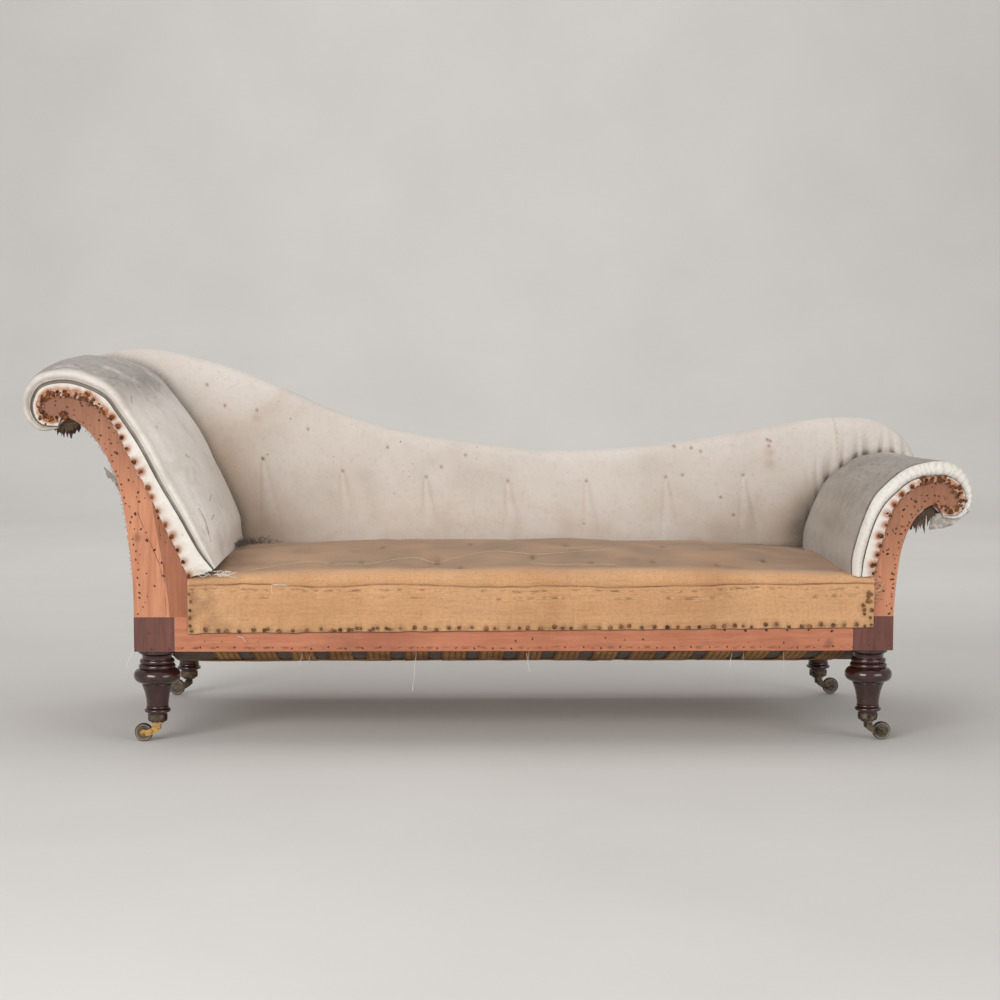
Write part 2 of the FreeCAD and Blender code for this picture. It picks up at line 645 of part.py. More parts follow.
def castor_screws(x, y):
    """Three screws through the wall of a cup into the leg."""
    screws = []
    for turn in range(3):
        angle = math.radians(90 + 120 * turn)
        way = Vector(math.cos(angle), math.sin(angle), 0)
        height = cup_top_z - spigot_depth / 2
        start = Vector(x, y, height) + way * (cup_radius + castor_screw_proud)
        shank = Part.makeCylinder(castor_screw_radius, cup_floor + castor_screw_bite, start, way * -1)
        head = Part.makeCylinder(castor_screw_head, castor_screw_head_height, start, way * -1)
        screws.append(shank.fuse(head).removeSplitter().Solids[0])
    return screws


cups = []
screws = []
for corner, (x, y, x_side, y_side) in corners.items():
    cups.append(castor_cup(x, y))
    screws += castor_screws(x, y)
    save("castor_horn_" + corner, [castor_horn(x, y, x_side)])
    save("castor_axle_" + corner, [castor_axle(x, y, x_side)])
    save("castor_wheel_" + corner, [castor_wheel(x, y, x_side)])
save("castor_cups", cups)
save("castor_screws", screws)


def band(points, low_shift, x_low, x_high):
    """A strap along Y or a sheet: a polyline of (y, z) with a lower line, carried along X."""
    upper = [Vector(x_low, y, z) for y, z in points]
    lower = [Vector(x_low, y, z - low_shift) for y, z in reversed(points)]
    face = Part.Face(Part.makePolygon(upper + lower + [upper[0]]))
    return face.extrude(Vector(x_high - x_low, 0, 0))


# The spring canvas runs from rail to rail, raised over the springs
canvas_line = [(front_y + edge_margin, rail_top_z + cloth), (inner_front_rail, rail_top_z + cloth),
               (inner_front_rail + canvas_slope, rail_top_z + spring_lift + cloth),
               (inner_rear_rail - canvas_slope, rail_top_z + spring_lift + cloth),
               (inner_rear_rail, rail_top_z + cloth), (rear_y - edge_margin, rail_top_z + cloth)]

# What the back stops short of: the room inside the two ends, and the room under the spring canvas
head_span = head_board(inner_front_y, inner_rear_y)
foot_span = foot_board(inner_front_y, inner_rear_y)
canvas_room = band(canvas_line, rail_height, head_joint_x, foot_joint_x)
back_limits = head_span.fuse([foot_span, canvas_room])


# The back: webbing and canvas on the front of its frame, stuffing, and calico
def back_loft(thinner):
    """The back pad, or with the calico's thickness given, what lies under the calico."""
    side_out = cloth if thinner == 0 else -cloth / 4
    sections = []
    for depth, drawn_in in back_fullness:
        last = depth == back_fullness[-1][0]
        wire = Part.Wire(Part.__sortEdges__(back_edges(drawn_in, side_out, thinner)))
        wire.translate(Vector(0, rear_y - depth + (thinner if last else 0.0), 0))
        sections.append(wire)
    pad = Part.makeLoft(sections, True, True)
    ball_y = rear_y - back_fullness[-1][0] + tuft_depth - tuft_radius
    for share, height in back_tufts:
        middle = Vector(head_leg_x + share * leg_spacing, ball_y, rail_top_z + height)
        pad = pad.cut(Part.makeSphere(tuft_radius + thinner, middle))
    return pad.cut(back_limits)


back_canvas_front = inner_rear_y - cloth_back
canvas_region = back_edges(back_over_rail + cloth, -edge_lap)
back_canvas = extruded(canvas_region, back_canvas_front, back_canvas_front + cloth)
back_canvas = back_canvas.cut(back_limits)
webbing_region = extruded(canvas_region, back_canvas_front + cloth, inner_rear_y)
webbing_region = webbing_region.cut(back_limits)
back_straps = []
strap_count = int((foot_joint_x - head_joint_x - webbing_width) / 2 / webbing_pitch)
seat_middle_x = (head_joint_x + foot_joint_x) / 2
strap_places = [seat_middle_x + i * webbing_pitch for i in range(-strap_count, strap_count + 1)]
for strap_x in strap_places:
    strap = box((strap_x - webbing_width / 2, back_canvas_front, back_foot_z),
                (strap_x + webbing_width / 2, inner_rear_y, far_z))
    back_straps += inside(webbing_region, strap)
save("back_webbing", back_straps)
save("back_canvas", [largest(back_canvas)])
back_outer = back_loft(0.0)
back_inner = back_loft(cloth)
back_frame_room = frame_prism.fuse([head_rear_board, foot_rear_board, back_canvas] + back_straps)
back_stuffing = back_inner.cut(back_frame_room)
back_cover = back_outer.cut(back_inner).cut(back_frame_room)


# The ends: canvas over the rails, webbing under it, stuffing, calico, and its border on the board
def end_region(inner_side, leg_x, depth):
    """Everything on the outer side of the inner edge of a scroll board, less the depth given."""
    side = 1 if leg_x == head_leg_x else -1
    points = shifted(inner_side, [depth] * len(inner_side), side)
    first = (points[0][0], 0)
    last = (points[-1][0], 0)
    corners = [upright(p, leg_x) for p in (points[-1], last, first, points[0])]
    edges = [curve([upright(p, leg_x) for p in points])]
    edges += [line(corners[i], corners[i + 1]) for i in range(3)]
    return extruded(edges, inner_front_y, inner_rear_y)


def end_layer(board, inner_side, leg_x, outer_depth, inner_depth):
    """A layer of one thickness that follows the inner edge of a scroll board."""
    layer = board.cut(end_region(inner_side, leg_x, inner_depth))
    if outer_depth > 0:
        layer = layer.common(end_region(inner_side, leg_x, outer_depth))
    above = box((leg_x - past_end, inner_front_y, stuffing_low), (leg_x + past_end, inner_rear_y, far_z))
    return layer.common(above)


def end_straps(layer, leg_x):
    width = inner_rear_y - inner_front_y
    straps = []
    for i in range(end_webbing):
        middle = inner_front_y + (i + 0.5) * width / end_webbing
        band = box((leg_x - past_end, middle - webbing_width / 2, rail_top_z),
                   (leg_x + past_end, middle + webbing_width / 2, far_z))
        straps += inside(layer, band)
    return straps


head_canvas = largest(end_layer(head_span, head_inner_side, head_leg_x, 0.0, cloth))
foot_canvas = largest(end_layer(foot_span, foot_inner_side, foot_leg_x, 0.0, cloth))
head_under = largest(end_layer(head_span, head_inner_side, head_leg_x, cloth, cloth_back).cut(head_canvas))
foot_under = largest(end_layer(foot_span, foot_inner_side, foot_leg_x, cloth, cloth_back).cut(foot_canvas))
save("head_canvas", [head_canvas])
save("foot_canvas", [foot_canvas])
save("end_webbing", end_straps(head_under, head_leg_x) + end_straps(foot_under, foot_leg_x))


def end_loft(seam, fullness, inner_side, leg_x, way, thinner):
    """An end pad from front to back: the seam let out by its thickness, closed along the board's edge."""
    inner = [upright(p, leg_x) for p in inner_side]
    inner_joins = [len(inner) * quarter // 4 for quarter in (1, 2, 3)]
    base = [p for p, roll, full in seam]
    steps = paces([upright(p, leg_x) for p in base])
    sections = []
    for depth, roll_share, full_share in fullness:
        amounts = [roll * roll_share + (full - roll) * full_share - thinner for p, roll, full in seam]
        outer = [upright(p, leg_x) for p in shifted(base, amounts, way)]
        edges = lengths(outer, seam_joins, steps) + lengths(inner, inner_joins)
        edges += [line(outer[-1], inner[-1]), line(inner[0], outer[0])]
        wire = Part.Wire(Part.__sortEdges__(edges))
        wire.translate(Vector(0, front_y + depth, 0))
        sections.append(wire)
    return Part.makeLoft(sections, True, True)


head_outer = end_loft(head_seam, head_fullness, head_inner_side, head_leg_x, -1, 0.0)
head_inner = end_loft(head_seam, head_fullness, head_inner_side, head_leg_x, -1, cloth)
foot_outer = end_loft(foot_seam, foot_fullness, foot_inner_side, foot_leg_x, 1, 0.0)
foot_inner = end_loft(foot_seam, foot_fullness, foot_inner_side, foot_leg_x, 1, cloth)


def border(seam, inner_side, leg_x, way, overlap):
    """The calico strip on the front of a board, from its tacked edge to the seam."""
    seam_points = [upright(p, leg_x) for p, roll, full in seam]
    tacked = shifted(inner_side, [-overlap] * len(inner_side), way)[:-1]
    tacked = [upright(p, leg_x) for p in tacked]
    edges = [curve(seam_points), line(seam_points[-1], tacked[-1]), curve(tacked),
             line(tacked[0], seam_points[0])]
    return extruded(edges, front_y - cloth, front_y).Solids


save("head_border", border(head_seam, head_inner_side, head_leg_x, -1, head_border_lap))
save("foot_border", border(foot_seam, foot_inner_side, foot_leg_x, 1, foot_border_lap))


# The seat: webbing, springs, canvas, stuffing with its stitched roll, hessian
seat_length = foot_joint_x - head_joint_x
half_span = inner_rear_rail


def strap_dip(y):
    """How far the cross straps hang below the rails at a distance from the middle."""
    return webbing_sag * (1 - (y / half_span) ** 2)


def cross_strap(x):
    """One strap from rail to rail, hanging in an arc."""
    edges = []
    for drop in (0.0, webbing_thickness):
        z = rail_bottom_z - drop
        ends = [Vector(0, front_y + edge_margin, z), Vector(0, inner_front_rail, z),
                Vector(0, inner_rear_rail, z), Vector(0, rear_y - edge_margin, z)]
        middle = Vector(0, 0, z - webbing_sag)
        hanging = Part.Arc(ends[1], middle, ends[2]).toShape()
        edges += [line(ends[0], ends[1]), hanging, line(ends[2], ends[3])]
    for y in (front_y + edge_margin, rear_y - edge_margin):
        edges.append(line(Vector(0, y, rail_bottom_z), Vector(0, y, rail_bottom_z - webbing_thickness)))
    strap = Part.Face(Part.Wire(Part.__sortEdges__(edges))).extrude(Vector(webbing_width, 0, 0))
    return strap.translated(Vector(x - webbing_width / 2, 0, 0)).Solids[0]


def long_strap(y):
    """One strap under the cross straps, from the head rail to the foot rail."""
    start = head_leg_x - half_block + edge_margin
    end = foot_leg_x + half_block - edge_margin
    inner_start = head_leg_x - half_block + rail_thickness
    inner_end = foot_leg_x + half_block - rail_thickness
    dip = strap_dip(max(abs(y) - webbing_width / 2, 0)) + webbing_thickness
    line_points = [(start, 0), (inner_start, 0), (inner_start + webbing_slope, -dip),
                   (inner_end - webbing_slope, -dip), (inner_end, 0), (end, 0)]
    upper = [Vector(x, y - webbing_width / 2, rail_bottom_z + z) for x, z in line_points]
    lower = [p - Vector(0, 0, webbing_thickness) for p in reversed(upper)]
    face = Part.Face(Part.makePolygon(upper + lower + [upper[0]]))
    return face.extrude(Vector(0, webbing_width, 0))


cross_straps = [cross_strap(x) for x in strap_places]
spring_rows = [-spring_row_pitch, 0.0, spring_row_pitch]
save("seat_webbing_cross", cross_straps)
save("seat_webbing_long", [long_strap(y) for y in spring_rows])

seat_canvas = band(canvas_line, cloth, head_joint_x, foot_joint_x)
save("seat_canvas", [seat_canvas])


def spring_point(turn, height):
    """The middle of the wire after a number of turns; the end turns lie almost flat."""
    share = turn / spring_turns
    swell = math.cos(math.pi * share) ** 2
    radius = spring_waist_radius + (spring_end_radius - spring_waist_radius) * swell
    rise = share - 0.62 * math.sin(2 * math.pi * share) / (2 * math.pi)
    angle = 2 * math.pi * turn
    return Vector(radius * math.cos(angle), radius * math.sin(angle), height * rise)


def spring_way(turn, height):
    step = 0.0005
    return (spring_point(turn + step, height) - spring_point(turn - step, height)).normalize()


def joined_arcs(start, start_way, end, end_way):
    """Two arcs that leave one point and reach another in the ways given."""
    chord = end - start
    ways = start_way + end_way
    across = 2 * (1 - start_way.dot(end_way))
    reach = (-chord.dot(ways) + math.sqrt(chord.dot(ways) ** 2 + across * chord.dot(chord))) / across
    near = start + start_way * reach
    far = end - end_way * reach
    middle = (near + far) * 0.5
    arcs = []
    for a, corner_point, b in ((start, near, middle), (middle, far, end)):
        weight = a.distanceToPoint(b) / 2 / a.distanceToPoint(corner_point)
        crown = (a + b + corner_point * (2 * weight)) * (1 / (2 + 2 * weight))
        arcs.append(Part.Arc(a, crown, b).toShape())
    return arcs


def spring(height):
    """One waisted coil spring of one wire, standing on Z = 0."""
    edges = []
    for i in range(2 * spring_turns):
        turn = i / 2
        edges += joined_arcs(spring_point(turn, height), spring_way(turn, height),
                             spring_point(turn + 0.5, height), spring_way(turn + 0.5, height))
    path = Part.Wire(edges)
    circle = Part.Circle(spring_point(0, height), spring_way(0, height), spring_wire / 2)
    coil = path.makePipeShell([Part.Wire(circle.toShape())], True, False)
    return coil, path


def least_gap(path):
    """The least gap between neighbouring turns, measured on points along the wire."""
    points_per_turn = 60
    points = path.discretize(Number=points_per_turn * spring_turns)
    least = spring_end_radius
    for i, point in enumerate(points):
        for other in points[i + points_per_turn // 2:]:
            least = min(least, point.distanceToPoint(other))
    return least - spring_wire


springs = []
for y in spring_rows:
    foot_z = rail_bottom_z - strap_dip(abs(y) + spring_end_radius + spring_wire / 2) + spring_wire / 2
    spring_height = rail_top_z + spring_lift - spring_wire / 2 - foot_z
    coil, path = spring(spring_height)
    print("spring at", y, "height", round(spring_height, 1), "gap to itself", round(least_gap(path), 2))
    for x in strap_places[::2]:
        springs.append(coil.translated(Vector(x, y, foot_z)))
save("seat_springs", [solid for coil in springs for solid in coil.Solids])


def seat_section(share, thicker):
    """Outline of the stuffed seat across Y at a share of its length; thicker adds the hessian."""
    fall = seat_end_drop * abs(2 * share - 1) ** 3
    seam_z = rail_top_z + seat_seam
    roll_z = seam_z + seat_roll - fall
    crown_z = roll_z + seat_crown - 0.4 * fall + thicker
    roll_z += thicker
    depth = inner_rear_y - front_y
    low_z = rail_top_z + cloth
    front = [(-thicker, low_z), (-seat_bulge - thicker, (low_z + seam_z) / 2),
             (-seat_bulge - thicker, seam_z - 8), (-thicker, seam_z)]
    top = [(-thicker, seam_z), (-seat_bulge - thicker, seam_z + 0.35 * (roll_z - seam_z)),
           (4 - thicker, seam_z + 0.82 * (roll_z - seam_z)), (28, roll_z), (0.16 * depth, roll_z + 4),
           (0.32 * depth, crown_z - 4), (0.52 * depth, crown_z), (0.72 * depth, crown_z - 4),
           (0.86 * depth, roll_z + 8), (depth, roll_z)]
    x = head_joint_x + share * seat_length
    front = [Vector(x, front_y + y, z) for y, z in front]
    top = [Vector(x, front_y + y, z) for y, z in top]
    low = [Vector(x, inner_rear_y, low_z)] + [Vector(x, y, z) for y, z in reversed(canvas_line[1:5])]
    low += [Vector(x, front_y - thicker, low_z)]
    edges = [curve(front), curve(top), line(top[-1], low[0])]
    edges += [line(low[i], low[i + 1]) for i in range(len(low) - 1)]
    return Part.Wire(edges)


seat_stations = [0.0, 0.06, 0.15, 0.3, 0.5, 0.7, 0.85, 0.94, 1.0]
seat_outer = Part.makeLoft([seat_section(share, cloth) for share in seat_stations], True, True)
seat_inner = Part.makeLoft([seat_section(share, 0.0) for share in seat_stations], True, True)
seam_level = rail_top_z + seat_seam
front_zone = box((head_joint_x - past, front_y - front_reach, rail_top_z),
                 (foot_joint_x + past, front_y + facing_thickness / 2, seam_level))
seat_shell = seat_outer.cut(seat_inner)
lap_left = head_joint_x - edge_lap
lap_right = foot_joint_x + edge_lap
lap_outline = [Vector(lap_left, front_y - cloth, rail_top_z - lap_head),
               Vector(lap_right, front_y - cloth, rail_top_z - lap_foot),
               Vector(lap_right, front_y - cloth, seam_level), Vector(lap_left, front_y - cloth, seam_level)]
lap_sheet = Part.Face(Part.makePolygon(lap_outline + [lap_outline[0]])).extrude(Vector(0, cloth, 0))
lap_room = box((head_joint_x, front_y - front_reach, rail_top_z + cloth),
               (foot_joint_x, front_y + front_reach, seam_level + past))
seat_border = seat_shell.common(front_zone).fuse(lap_sheet.cut(lap_room)).removeSplitter()
save("seat_border", seat_border.Solids)
save("seat_cover", [largest(seat_shell.cut(front_zone).cut(back_outer))])
save("seat_stuffing", [largest(seat_inner.cut(back_outer))])

# The end pads stand on the seat and against the back
neighbours = seat_outer.fuse(back_outer)
for name, outer, inner in (("head", head_outer, head_inner), ("foot", foot_outer, foot_inner)):
    save(name + "_stuffing", [largest(inner.cut(neighbours))])
    save(name + "_cover", [largest(outer.cut(inner).cut(neighbours))])
save("back_stuffing", [largest(back_stuffing)])
save("back_cover", [largest(back_cover)])


# Tacks: a domed head and a tapered shank, driven towards +Y, or upwards
def tack(head_at, way):
    turn = FreeCAD.Rotation(Vector(0, 0, 1), way)
    head = Part.makeCone(tack_head_radius, tack_head_radius / 2, tack_head_height, Vector(0, 0, 0),
                         Vector(0, 0, -1))
    shank = Part.makeCone(tack_shank_radius, tack_shank_radius / 3, tack_length)
    whole = head.fuse(shank).removeSplitter().Solids[0]
    whole.Placement = FreeCAD.Placement(head_at, turn)
    return whole


into_front = Vector(0, 1, 0)
cloth_y = front_y - cloth
seat_tacks = []
count = int((lap_right - lap_left) / tack_pitch)
for i in range(count + 1):
    share = (i + 0.5) / (count + 1)
    fall = lap_head + share * (lap_foot - lap_head)
    place = Vector(lap_left + share * (lap_right - lap_left), cloth_y, rail_top_z - fall + tack_margin)
    seat_tacks.append(tack(place, into_front))
rise = rail_top_z
while rise < seam_level - tack_head_radius:
    seat_tacks.append(tack(Vector(lap_left + edge_lap / 2, cloth_y, rise), into_front))
    seat_tacks.append(tack(Vector(lap_right - edge_lap / 2, cloth_y, rise), into_front))
    rise += tack_pitch
save("seat_tacks", seat_tacks)


def edge_tacks(overlap, inner_side, leg_x, way):
    """Tacks along the middle of a border's lap over its board."""
    middle = shifted(inner_side, [-overlap / 2] * len(inner_side), way)[:-1]
    path = curve([upright(p, leg_x) for p in middle])
    places = path.discretize(Distance=tack_pitch)
    return [tack(Vector(p.x, cloth_y, p.z), into_front) for p in places[:-1]]


save("head_tacks", edge_tacks(head_border_lap, head_inner_side, head_leg_x, -1))
save("foot_tacks", edge_tacks(foot_border_lap, foot_inner_side, foot_leg_x, 1))
webbing_tacks = []
up = Vector(0, 0, 1)
for x in strap_places:
    for y in (front_y + rail_thickness / 2, rear_y - rail_thickness / 2):
        for shift in (-webbing_width / 3, 0.0, webbing_width / 3):
            webbing_tacks.append(tack(Vector(x + shift, y, rail_bottom_z - webbing_thickness), up))
for y in spring_rows:
    for x in (head_leg_x - half_block + rail_thickness / 2, foot_leg_x + half_block - rail_thickness / 2):
        for shift in (-webbing_width / 3, 0.0, webbing_width / 3):
            webbing_tacks.append(tack(Vector(x, y + shift, rail_bottom_z - webbing_thickness), up))
save("webbing_tacks", webbing_tacks)
print(len(made), "nodes")
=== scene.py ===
import json
import math
import random
from random import choice, uniform

import bmesh
import bpy
import numpy as np
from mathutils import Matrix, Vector, noise


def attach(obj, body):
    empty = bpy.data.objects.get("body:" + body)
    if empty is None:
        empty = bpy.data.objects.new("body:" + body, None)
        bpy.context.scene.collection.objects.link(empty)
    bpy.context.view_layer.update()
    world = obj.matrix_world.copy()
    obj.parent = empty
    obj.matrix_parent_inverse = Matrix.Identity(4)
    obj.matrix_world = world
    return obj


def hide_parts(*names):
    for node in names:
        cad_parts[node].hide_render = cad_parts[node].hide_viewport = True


# A scroll-ended chaise longue stripped back to its calico and hessian.
# Sizes below are in millimetres, as in the part's source, and become metres where meshes are made.

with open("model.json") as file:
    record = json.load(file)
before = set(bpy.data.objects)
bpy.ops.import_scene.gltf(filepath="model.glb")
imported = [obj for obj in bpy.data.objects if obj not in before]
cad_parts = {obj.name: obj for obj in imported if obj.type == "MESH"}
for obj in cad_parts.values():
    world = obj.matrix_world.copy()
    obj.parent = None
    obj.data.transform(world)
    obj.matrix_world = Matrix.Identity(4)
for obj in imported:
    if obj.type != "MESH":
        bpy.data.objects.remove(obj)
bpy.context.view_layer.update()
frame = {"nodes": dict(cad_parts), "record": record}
# Both kinds of random numbers start the same each run
random.seed(7)
noise.seed_set(7)

head_leg_x = -711.5
foot_leg_x = 763.0
leg_spacing = foot_leg_x - head_leg_x
front_y = -321.5
rear_y = 321.5
board = 30.0
inner_front_y = front_y + board
inner_rear_y = rear_y - board
rail_bottom = 193.0
rail_top = 264.0
head_joint_x = -634.0
foot_joint_x = 755.0
seat_seam = 64.0

# Outlines as (distance from the leg axis, height above the seat rails)
head_inner_side = [(77.5, 84), (54, 142), (23.5, 204), (-2.5, 263), (-40.5, 334), (-72, 400), (-119, 447),
                   (-155, 458), (-188, 460), (-213, 456), (-227, 443), (-228.5, 424), (-219, 407),
                   (-203, 401), (-188, 404), (-173.5, 410)]
head_outer_side = [(-173.5, 410), (-135.5, 387), (-98.5, 340), (-69.5, 271), (-51.5, 169), (-43, 77)]
foot_inner_side = [(-8, 85), (2, 125), (11, 162), (23, 202), (38, 234), (63, 261), (94, 278), (132, 283),
                   (163, 271), (180, 240), (174, 223), (158, 216), (140, 217), (119, 229)]
foot_outer_side = [(119, 229), (82, 200), (57, 142), (49, 95), (44, 45)]
# Seams of the end pads: the point, the pad's thickness in the roll at the front, and at its fullest
head_seam = [((121, 97), 10, 16), ((91, 136), 20, 52), ((51, 208), 24, 66), ((11, 277), 26, 75),
             ((-28, 351), 26, 74), ((-72, 418), 26, 66), ((-98, 450), 27, 61), ((-144, 472), 28, 56),
             ((-184, 478), 28, 52), ((-222, 468), 28, 40), ((-238, 440), 27, 29), ((-236, 413), 21, 23),
             ((-220, 395), 15, 16), ((-190, 391), 5, 5)]
foot_seam = [((-25, 81), 18, 31), ((-21, 116), 22, 34), ((-11, 157), 22, 32), ((2, 196), 22, 29),
             ((20, 229), 25, 27), ((43, 253), 26, 23), ((71, 276), 26, 20), ((103, 286), 28, 19),
             ((142, 287), 30, 22), ((169, 275), 24, 22), ((184, 248), 17, 20), ((181, 224), 14, 16),
             ((166, 209), 10, 11), ((140, 207), 4, 4)]
back_line = [(0, -232, 412), (0, -254, 446), (0, -240, 492), (0, -208, 524), (0, -160, 540), (0, -104, 544),
             (0, -46, 539), (0.06, 0, 507), (0.15, 0, 455), (0.25, 0, 392), (0.35, 0, 351), (0.46, 0, 325),
             (0.56, 0, 309), (0.66, 0, 312), (0.78, 0, 330), (0.9, 0, 360), (1, -20, 381), (1, 50, 385),
             (1, 121, 378), (1, 170, 356), (1, 205, 318), (1, 216, 286), (1, 207, 246), (1, 182, 217)]
# Tufts of the back: (share of the way between the leg axes, height above the rails, how deep)
back_tufts = [(0.122, 293, 1.6), (0.246, 264, 1.6), (0.376, 250, 1.5), (0.504, 240, 1.5), (0.627, 240, 1.6),
              (0.751, 249, 1.5), (0.872, 254, 1.6), (0.192, 360, 0.8), (0.316, 318, 0.8), (0.4, 273, 0.8),
              (0.438, 300, 0.8), (0.806, 308, 0.8), (0.777, 254, 0.8), (0.857, 162, 0.8)]
webbing_width = 50.0
webbing_sag = 59.0
webbing_pitch = 79.0


# The camera stands where the photograph was taken
def set_camera():
    lens = bpy.data.cameras.new("camera")
    lens.sensor_width = 36.0
    lens.lens = 75.0
    lens.shift_x = 0.0415
    lens.clip_end = 50.0
    camera = bpy.data.objects.new("camera", lens)
    camera.location = (-0.1406, -4.5565, 0.835)
    camera.rotation_euler = (math.radians(90 - 4.47), 0.0, math.radians(-0.7))
    bpy.context.scene.collection.objects.link(camera)
    bpy.context.scene.camera = camera


set_camera()


# Materials. Colours are sRGB, in six hexadecimal digits
def tint(code):
    """The colour as Blender's linear one."""
    parts = [value / 255 for value in bytes.fromhex(code)]
    linear = [p / 12.92 if p <= 0.04045 else ((p + 0.055) / 1.055) ** 2.4 for p in parts]
    return (*linear, 1.0)


def add_node(tree, kind, inputs, **settings):
    """A new node with its settings; each input takes a value, or a link from another node."""
    made = tree.nodes.new(kind)
    for key, value in settings.items():
        setattr(made, key, value)
    for key, value in inputs.items():
        if isinstance(value, bpy.types.NodeSocket):
            tree.links.new(value, made.inputs[key])
        else:
            made.inputs[key].default_value = value
    return made


class Finish:
    """One procedural material, built node by node."""

    def __init__(self, name, lie=None, **sockets):
        self.name = name
        self.lie = lie
        self.made = bpy.data.materials.new(name)
        self.made.use_nodes = True
        self.skin = self.made.node_tree.nodes["Principled BSDF"]
        for socket, value in sockets.items():
            self.skin.inputs[socket.replace("_", " ").title()].default_value = value

    def node(self, kind, inputs, **settings):
        return add_node(self.made.node_tree, kind, inputs, **settings)

    def place(self, scale=(1, 1, 1), turn=(0, 0, 0), cloth=False):
        """Object coordinates, or the cloth's own map, stretched and turned.

        Cloth that lies along two axes, named by lie, takes its map from them."""
        source = self.node("ShaderNodeTexCoord", {}).outputs["UV" if cloth and not self.lie else "Object"]
        if cloth and self.lie:
            across, along = [self.axis(name, source) for name in self.lie]
            source = self.node("ShaderNodeCombineXYZ", {0: across, 1: along}).outputs[0]
        return self.node("ShaderNodeMapping", {"Vector": source, "Scale": scale, "Rotation": turn}).outputs[0]

    def axis(self, name, source=None):
        split = self.node("ShaderNodeSeparateXYZ", {0: self.place() if source is None else source})
        return split.outputs["XYZ".index(name)]

    def noise(self, scale, detail=4.0, rough=0.5, bend=0.0, at=None):
        at = self.place() if at is None else at
        return self.node("ShaderNodeTexNoise", {"Vector": at, "Scale": scale, "Detail": detail,
                                                "Roughness": rough, "Distortion": bend}).outputs[0]

    def spots(self, scale, low, high):
        """Round spots scattered at random: 1 in a spot, 0 outside."""
        cells = self.node("ShaderNodeTexVoronoi", {"Vector": self.place(), "Scale": scale})
        return self.span(cells.outputs["Distance"], high, low)

    def span(self, value, low, high, out_low=0.0, out_high=1.0):
        """Maps a span of values to another, clamped."""
        inputs = {0: value, 1: low, 2: high, 3: out_low, 4: out_high}
        return self.node("ShaderNodeMapRange", inputs).outputs[0]

    def calc(self, operation, first, second=0.0):
        return self.node("ShaderNodeMath", {0: first, 1: second}, operation=operation).outputs[0]

    def times(self, first, second):
        return self.calc("MULTIPLY", first, second)

    def plus(self, first, second):
        return self.calc("ADD", first, second)

    def mix(self, share, first, second):
        first, second = [tint(colour) if isinstance(colour, str) else colour for colour in (first, second)]
        return self.node("ShaderNodeMix", {0: share, 6: first, 7: second}, data_type="RGBA").outputs[2]

    def layers(self, base, *coats):
        """A base colour with coats over it, each by its share."""
        for share, coat in coats:
            base = self.mix(share, base, coat)
        return base

    def own(self, name):
        return self.node("ShaderNodeAttribute", {}, attribute_name=name).outputs["Fac"]

    def weave(self, pitch):
        """The height of a plain weave of threads at a pitch in metres, from 0 to 1."""
        turn = {0: self.place(cloth=True), "Scale": math.pi / pitch}
        bent = self.node("ShaderNodeVectorMath", turn, operation="SCALE").outputs[0]
        across, along = [self.calc("SINE", self.axis(name, bent)) for name in "XY"]
        return self.calc("ABSOLUTE", self.times(across, along))

    def finish(self, colour, height=None, strength=0.4, distance=0.002, rough=None):
        outlets = {"Base Color": colour, "Roughness": rough}
        if height is not None:
            bump = self.node("ShaderNodeBump", {"Height": height, "Strength": strength, "Distance": distance})
            outlets["Normal"] = bump.outputs[0]
        for socket, outlet in outlets.items():
            if outlet is not None:
                self.made.node_tree.links.new(outlet, self.skin.inputs[socket])
        finishes[self.name] = self.made


finishes = {}


def calico(name, clean, dull, stain, dusty="8c867e"):
    """Unbleached cotton: clean cloth, duller where it has lain, stained, dusty and rusted where the mesh says
    so, and darkened as painted shade in the creases, grooves and pad edges it marks.
    """
    cloth = Finish(name, roughness=0.92, sheen_weight=0.25, sheen_roughness=0.5)
    patch = cloth.noise(5.5, 5.0, 0.6, 0.4)
    fine = cloth.noise(42.0, 5.0, 0.65)
    slub = cloth.noise(1.0, 3.0, 0.6, at=cloth.place((900, 60, 1), cloth=True))
    speck = cloth.times(cloth.spots(60.0, 0.05, 0.12), cloth.span(cloth.noise(9.0), 0.52, 0.66))
    fleck = cloth.times(cloth.spots(24.0, 0.035, 0.055), cloth.span(cloth.noise(14.0), 0.5, 0.56))
    soot_and_shade_grain = cloth.noise(130.0, 3.0, 0.6)
    mottle = cloth.noise(95.0, 5.0, 0.7, 0.8)
    colour = cloth.layers(
        clean, (cloth.span(patch, 0.38, 0.68), dull),
        # dirt: brown dirt, and painted shade beside the pads and in creases and grooves
        (cloth.times(cloth.own("dirt"), cloth.span(fine, 0.25, 0.7, 0.78, 1.0)), stain),
        (cloth.span(slub, 0.45, 0.8, 0.0, 0.12), stain),
        (cloth.times(speck, 0.85), "684e38"), (cloth.times(fleck, 0.8), "60422c"),
        # dust: grey dust, and painted shade in grooves, creases and beside the pads
        (cloth.times(cloth.own("dust"), cloth.span(patch, 0.2, 0.7, 0.55, 1.0)), dusty),
        (cloth.times(cloth.own("rust"), cloth.span(fine, 0.3, 0.62, 0.45, 1.0)), "a45a1e"),
        # soot: dark soot, and painted shade along seams, creases, pleat hollows and where the pads meet the
        # back
        (cloth.times(cloth.own("soot"), cloth.span(soot_and_shade_grain, 0.3, 0.65, 0.7, 1.0)), "4a4038"),
        (cloth.span(mottle, 0.5, 0.78, 0.0, 0.34), stain))
    wrinkle = cloth.noise(26.0, 4.0, 0.6, 1.6)
    soft = cloth.plus(cloth.times(fine, 0.9), cloth.times(wrinkle, 1.6))
    cloth.finish(colour, cloth.plus(cloth.times(cloth.weave(0.0009), 0.35), soft), 0.42, 0.0016)


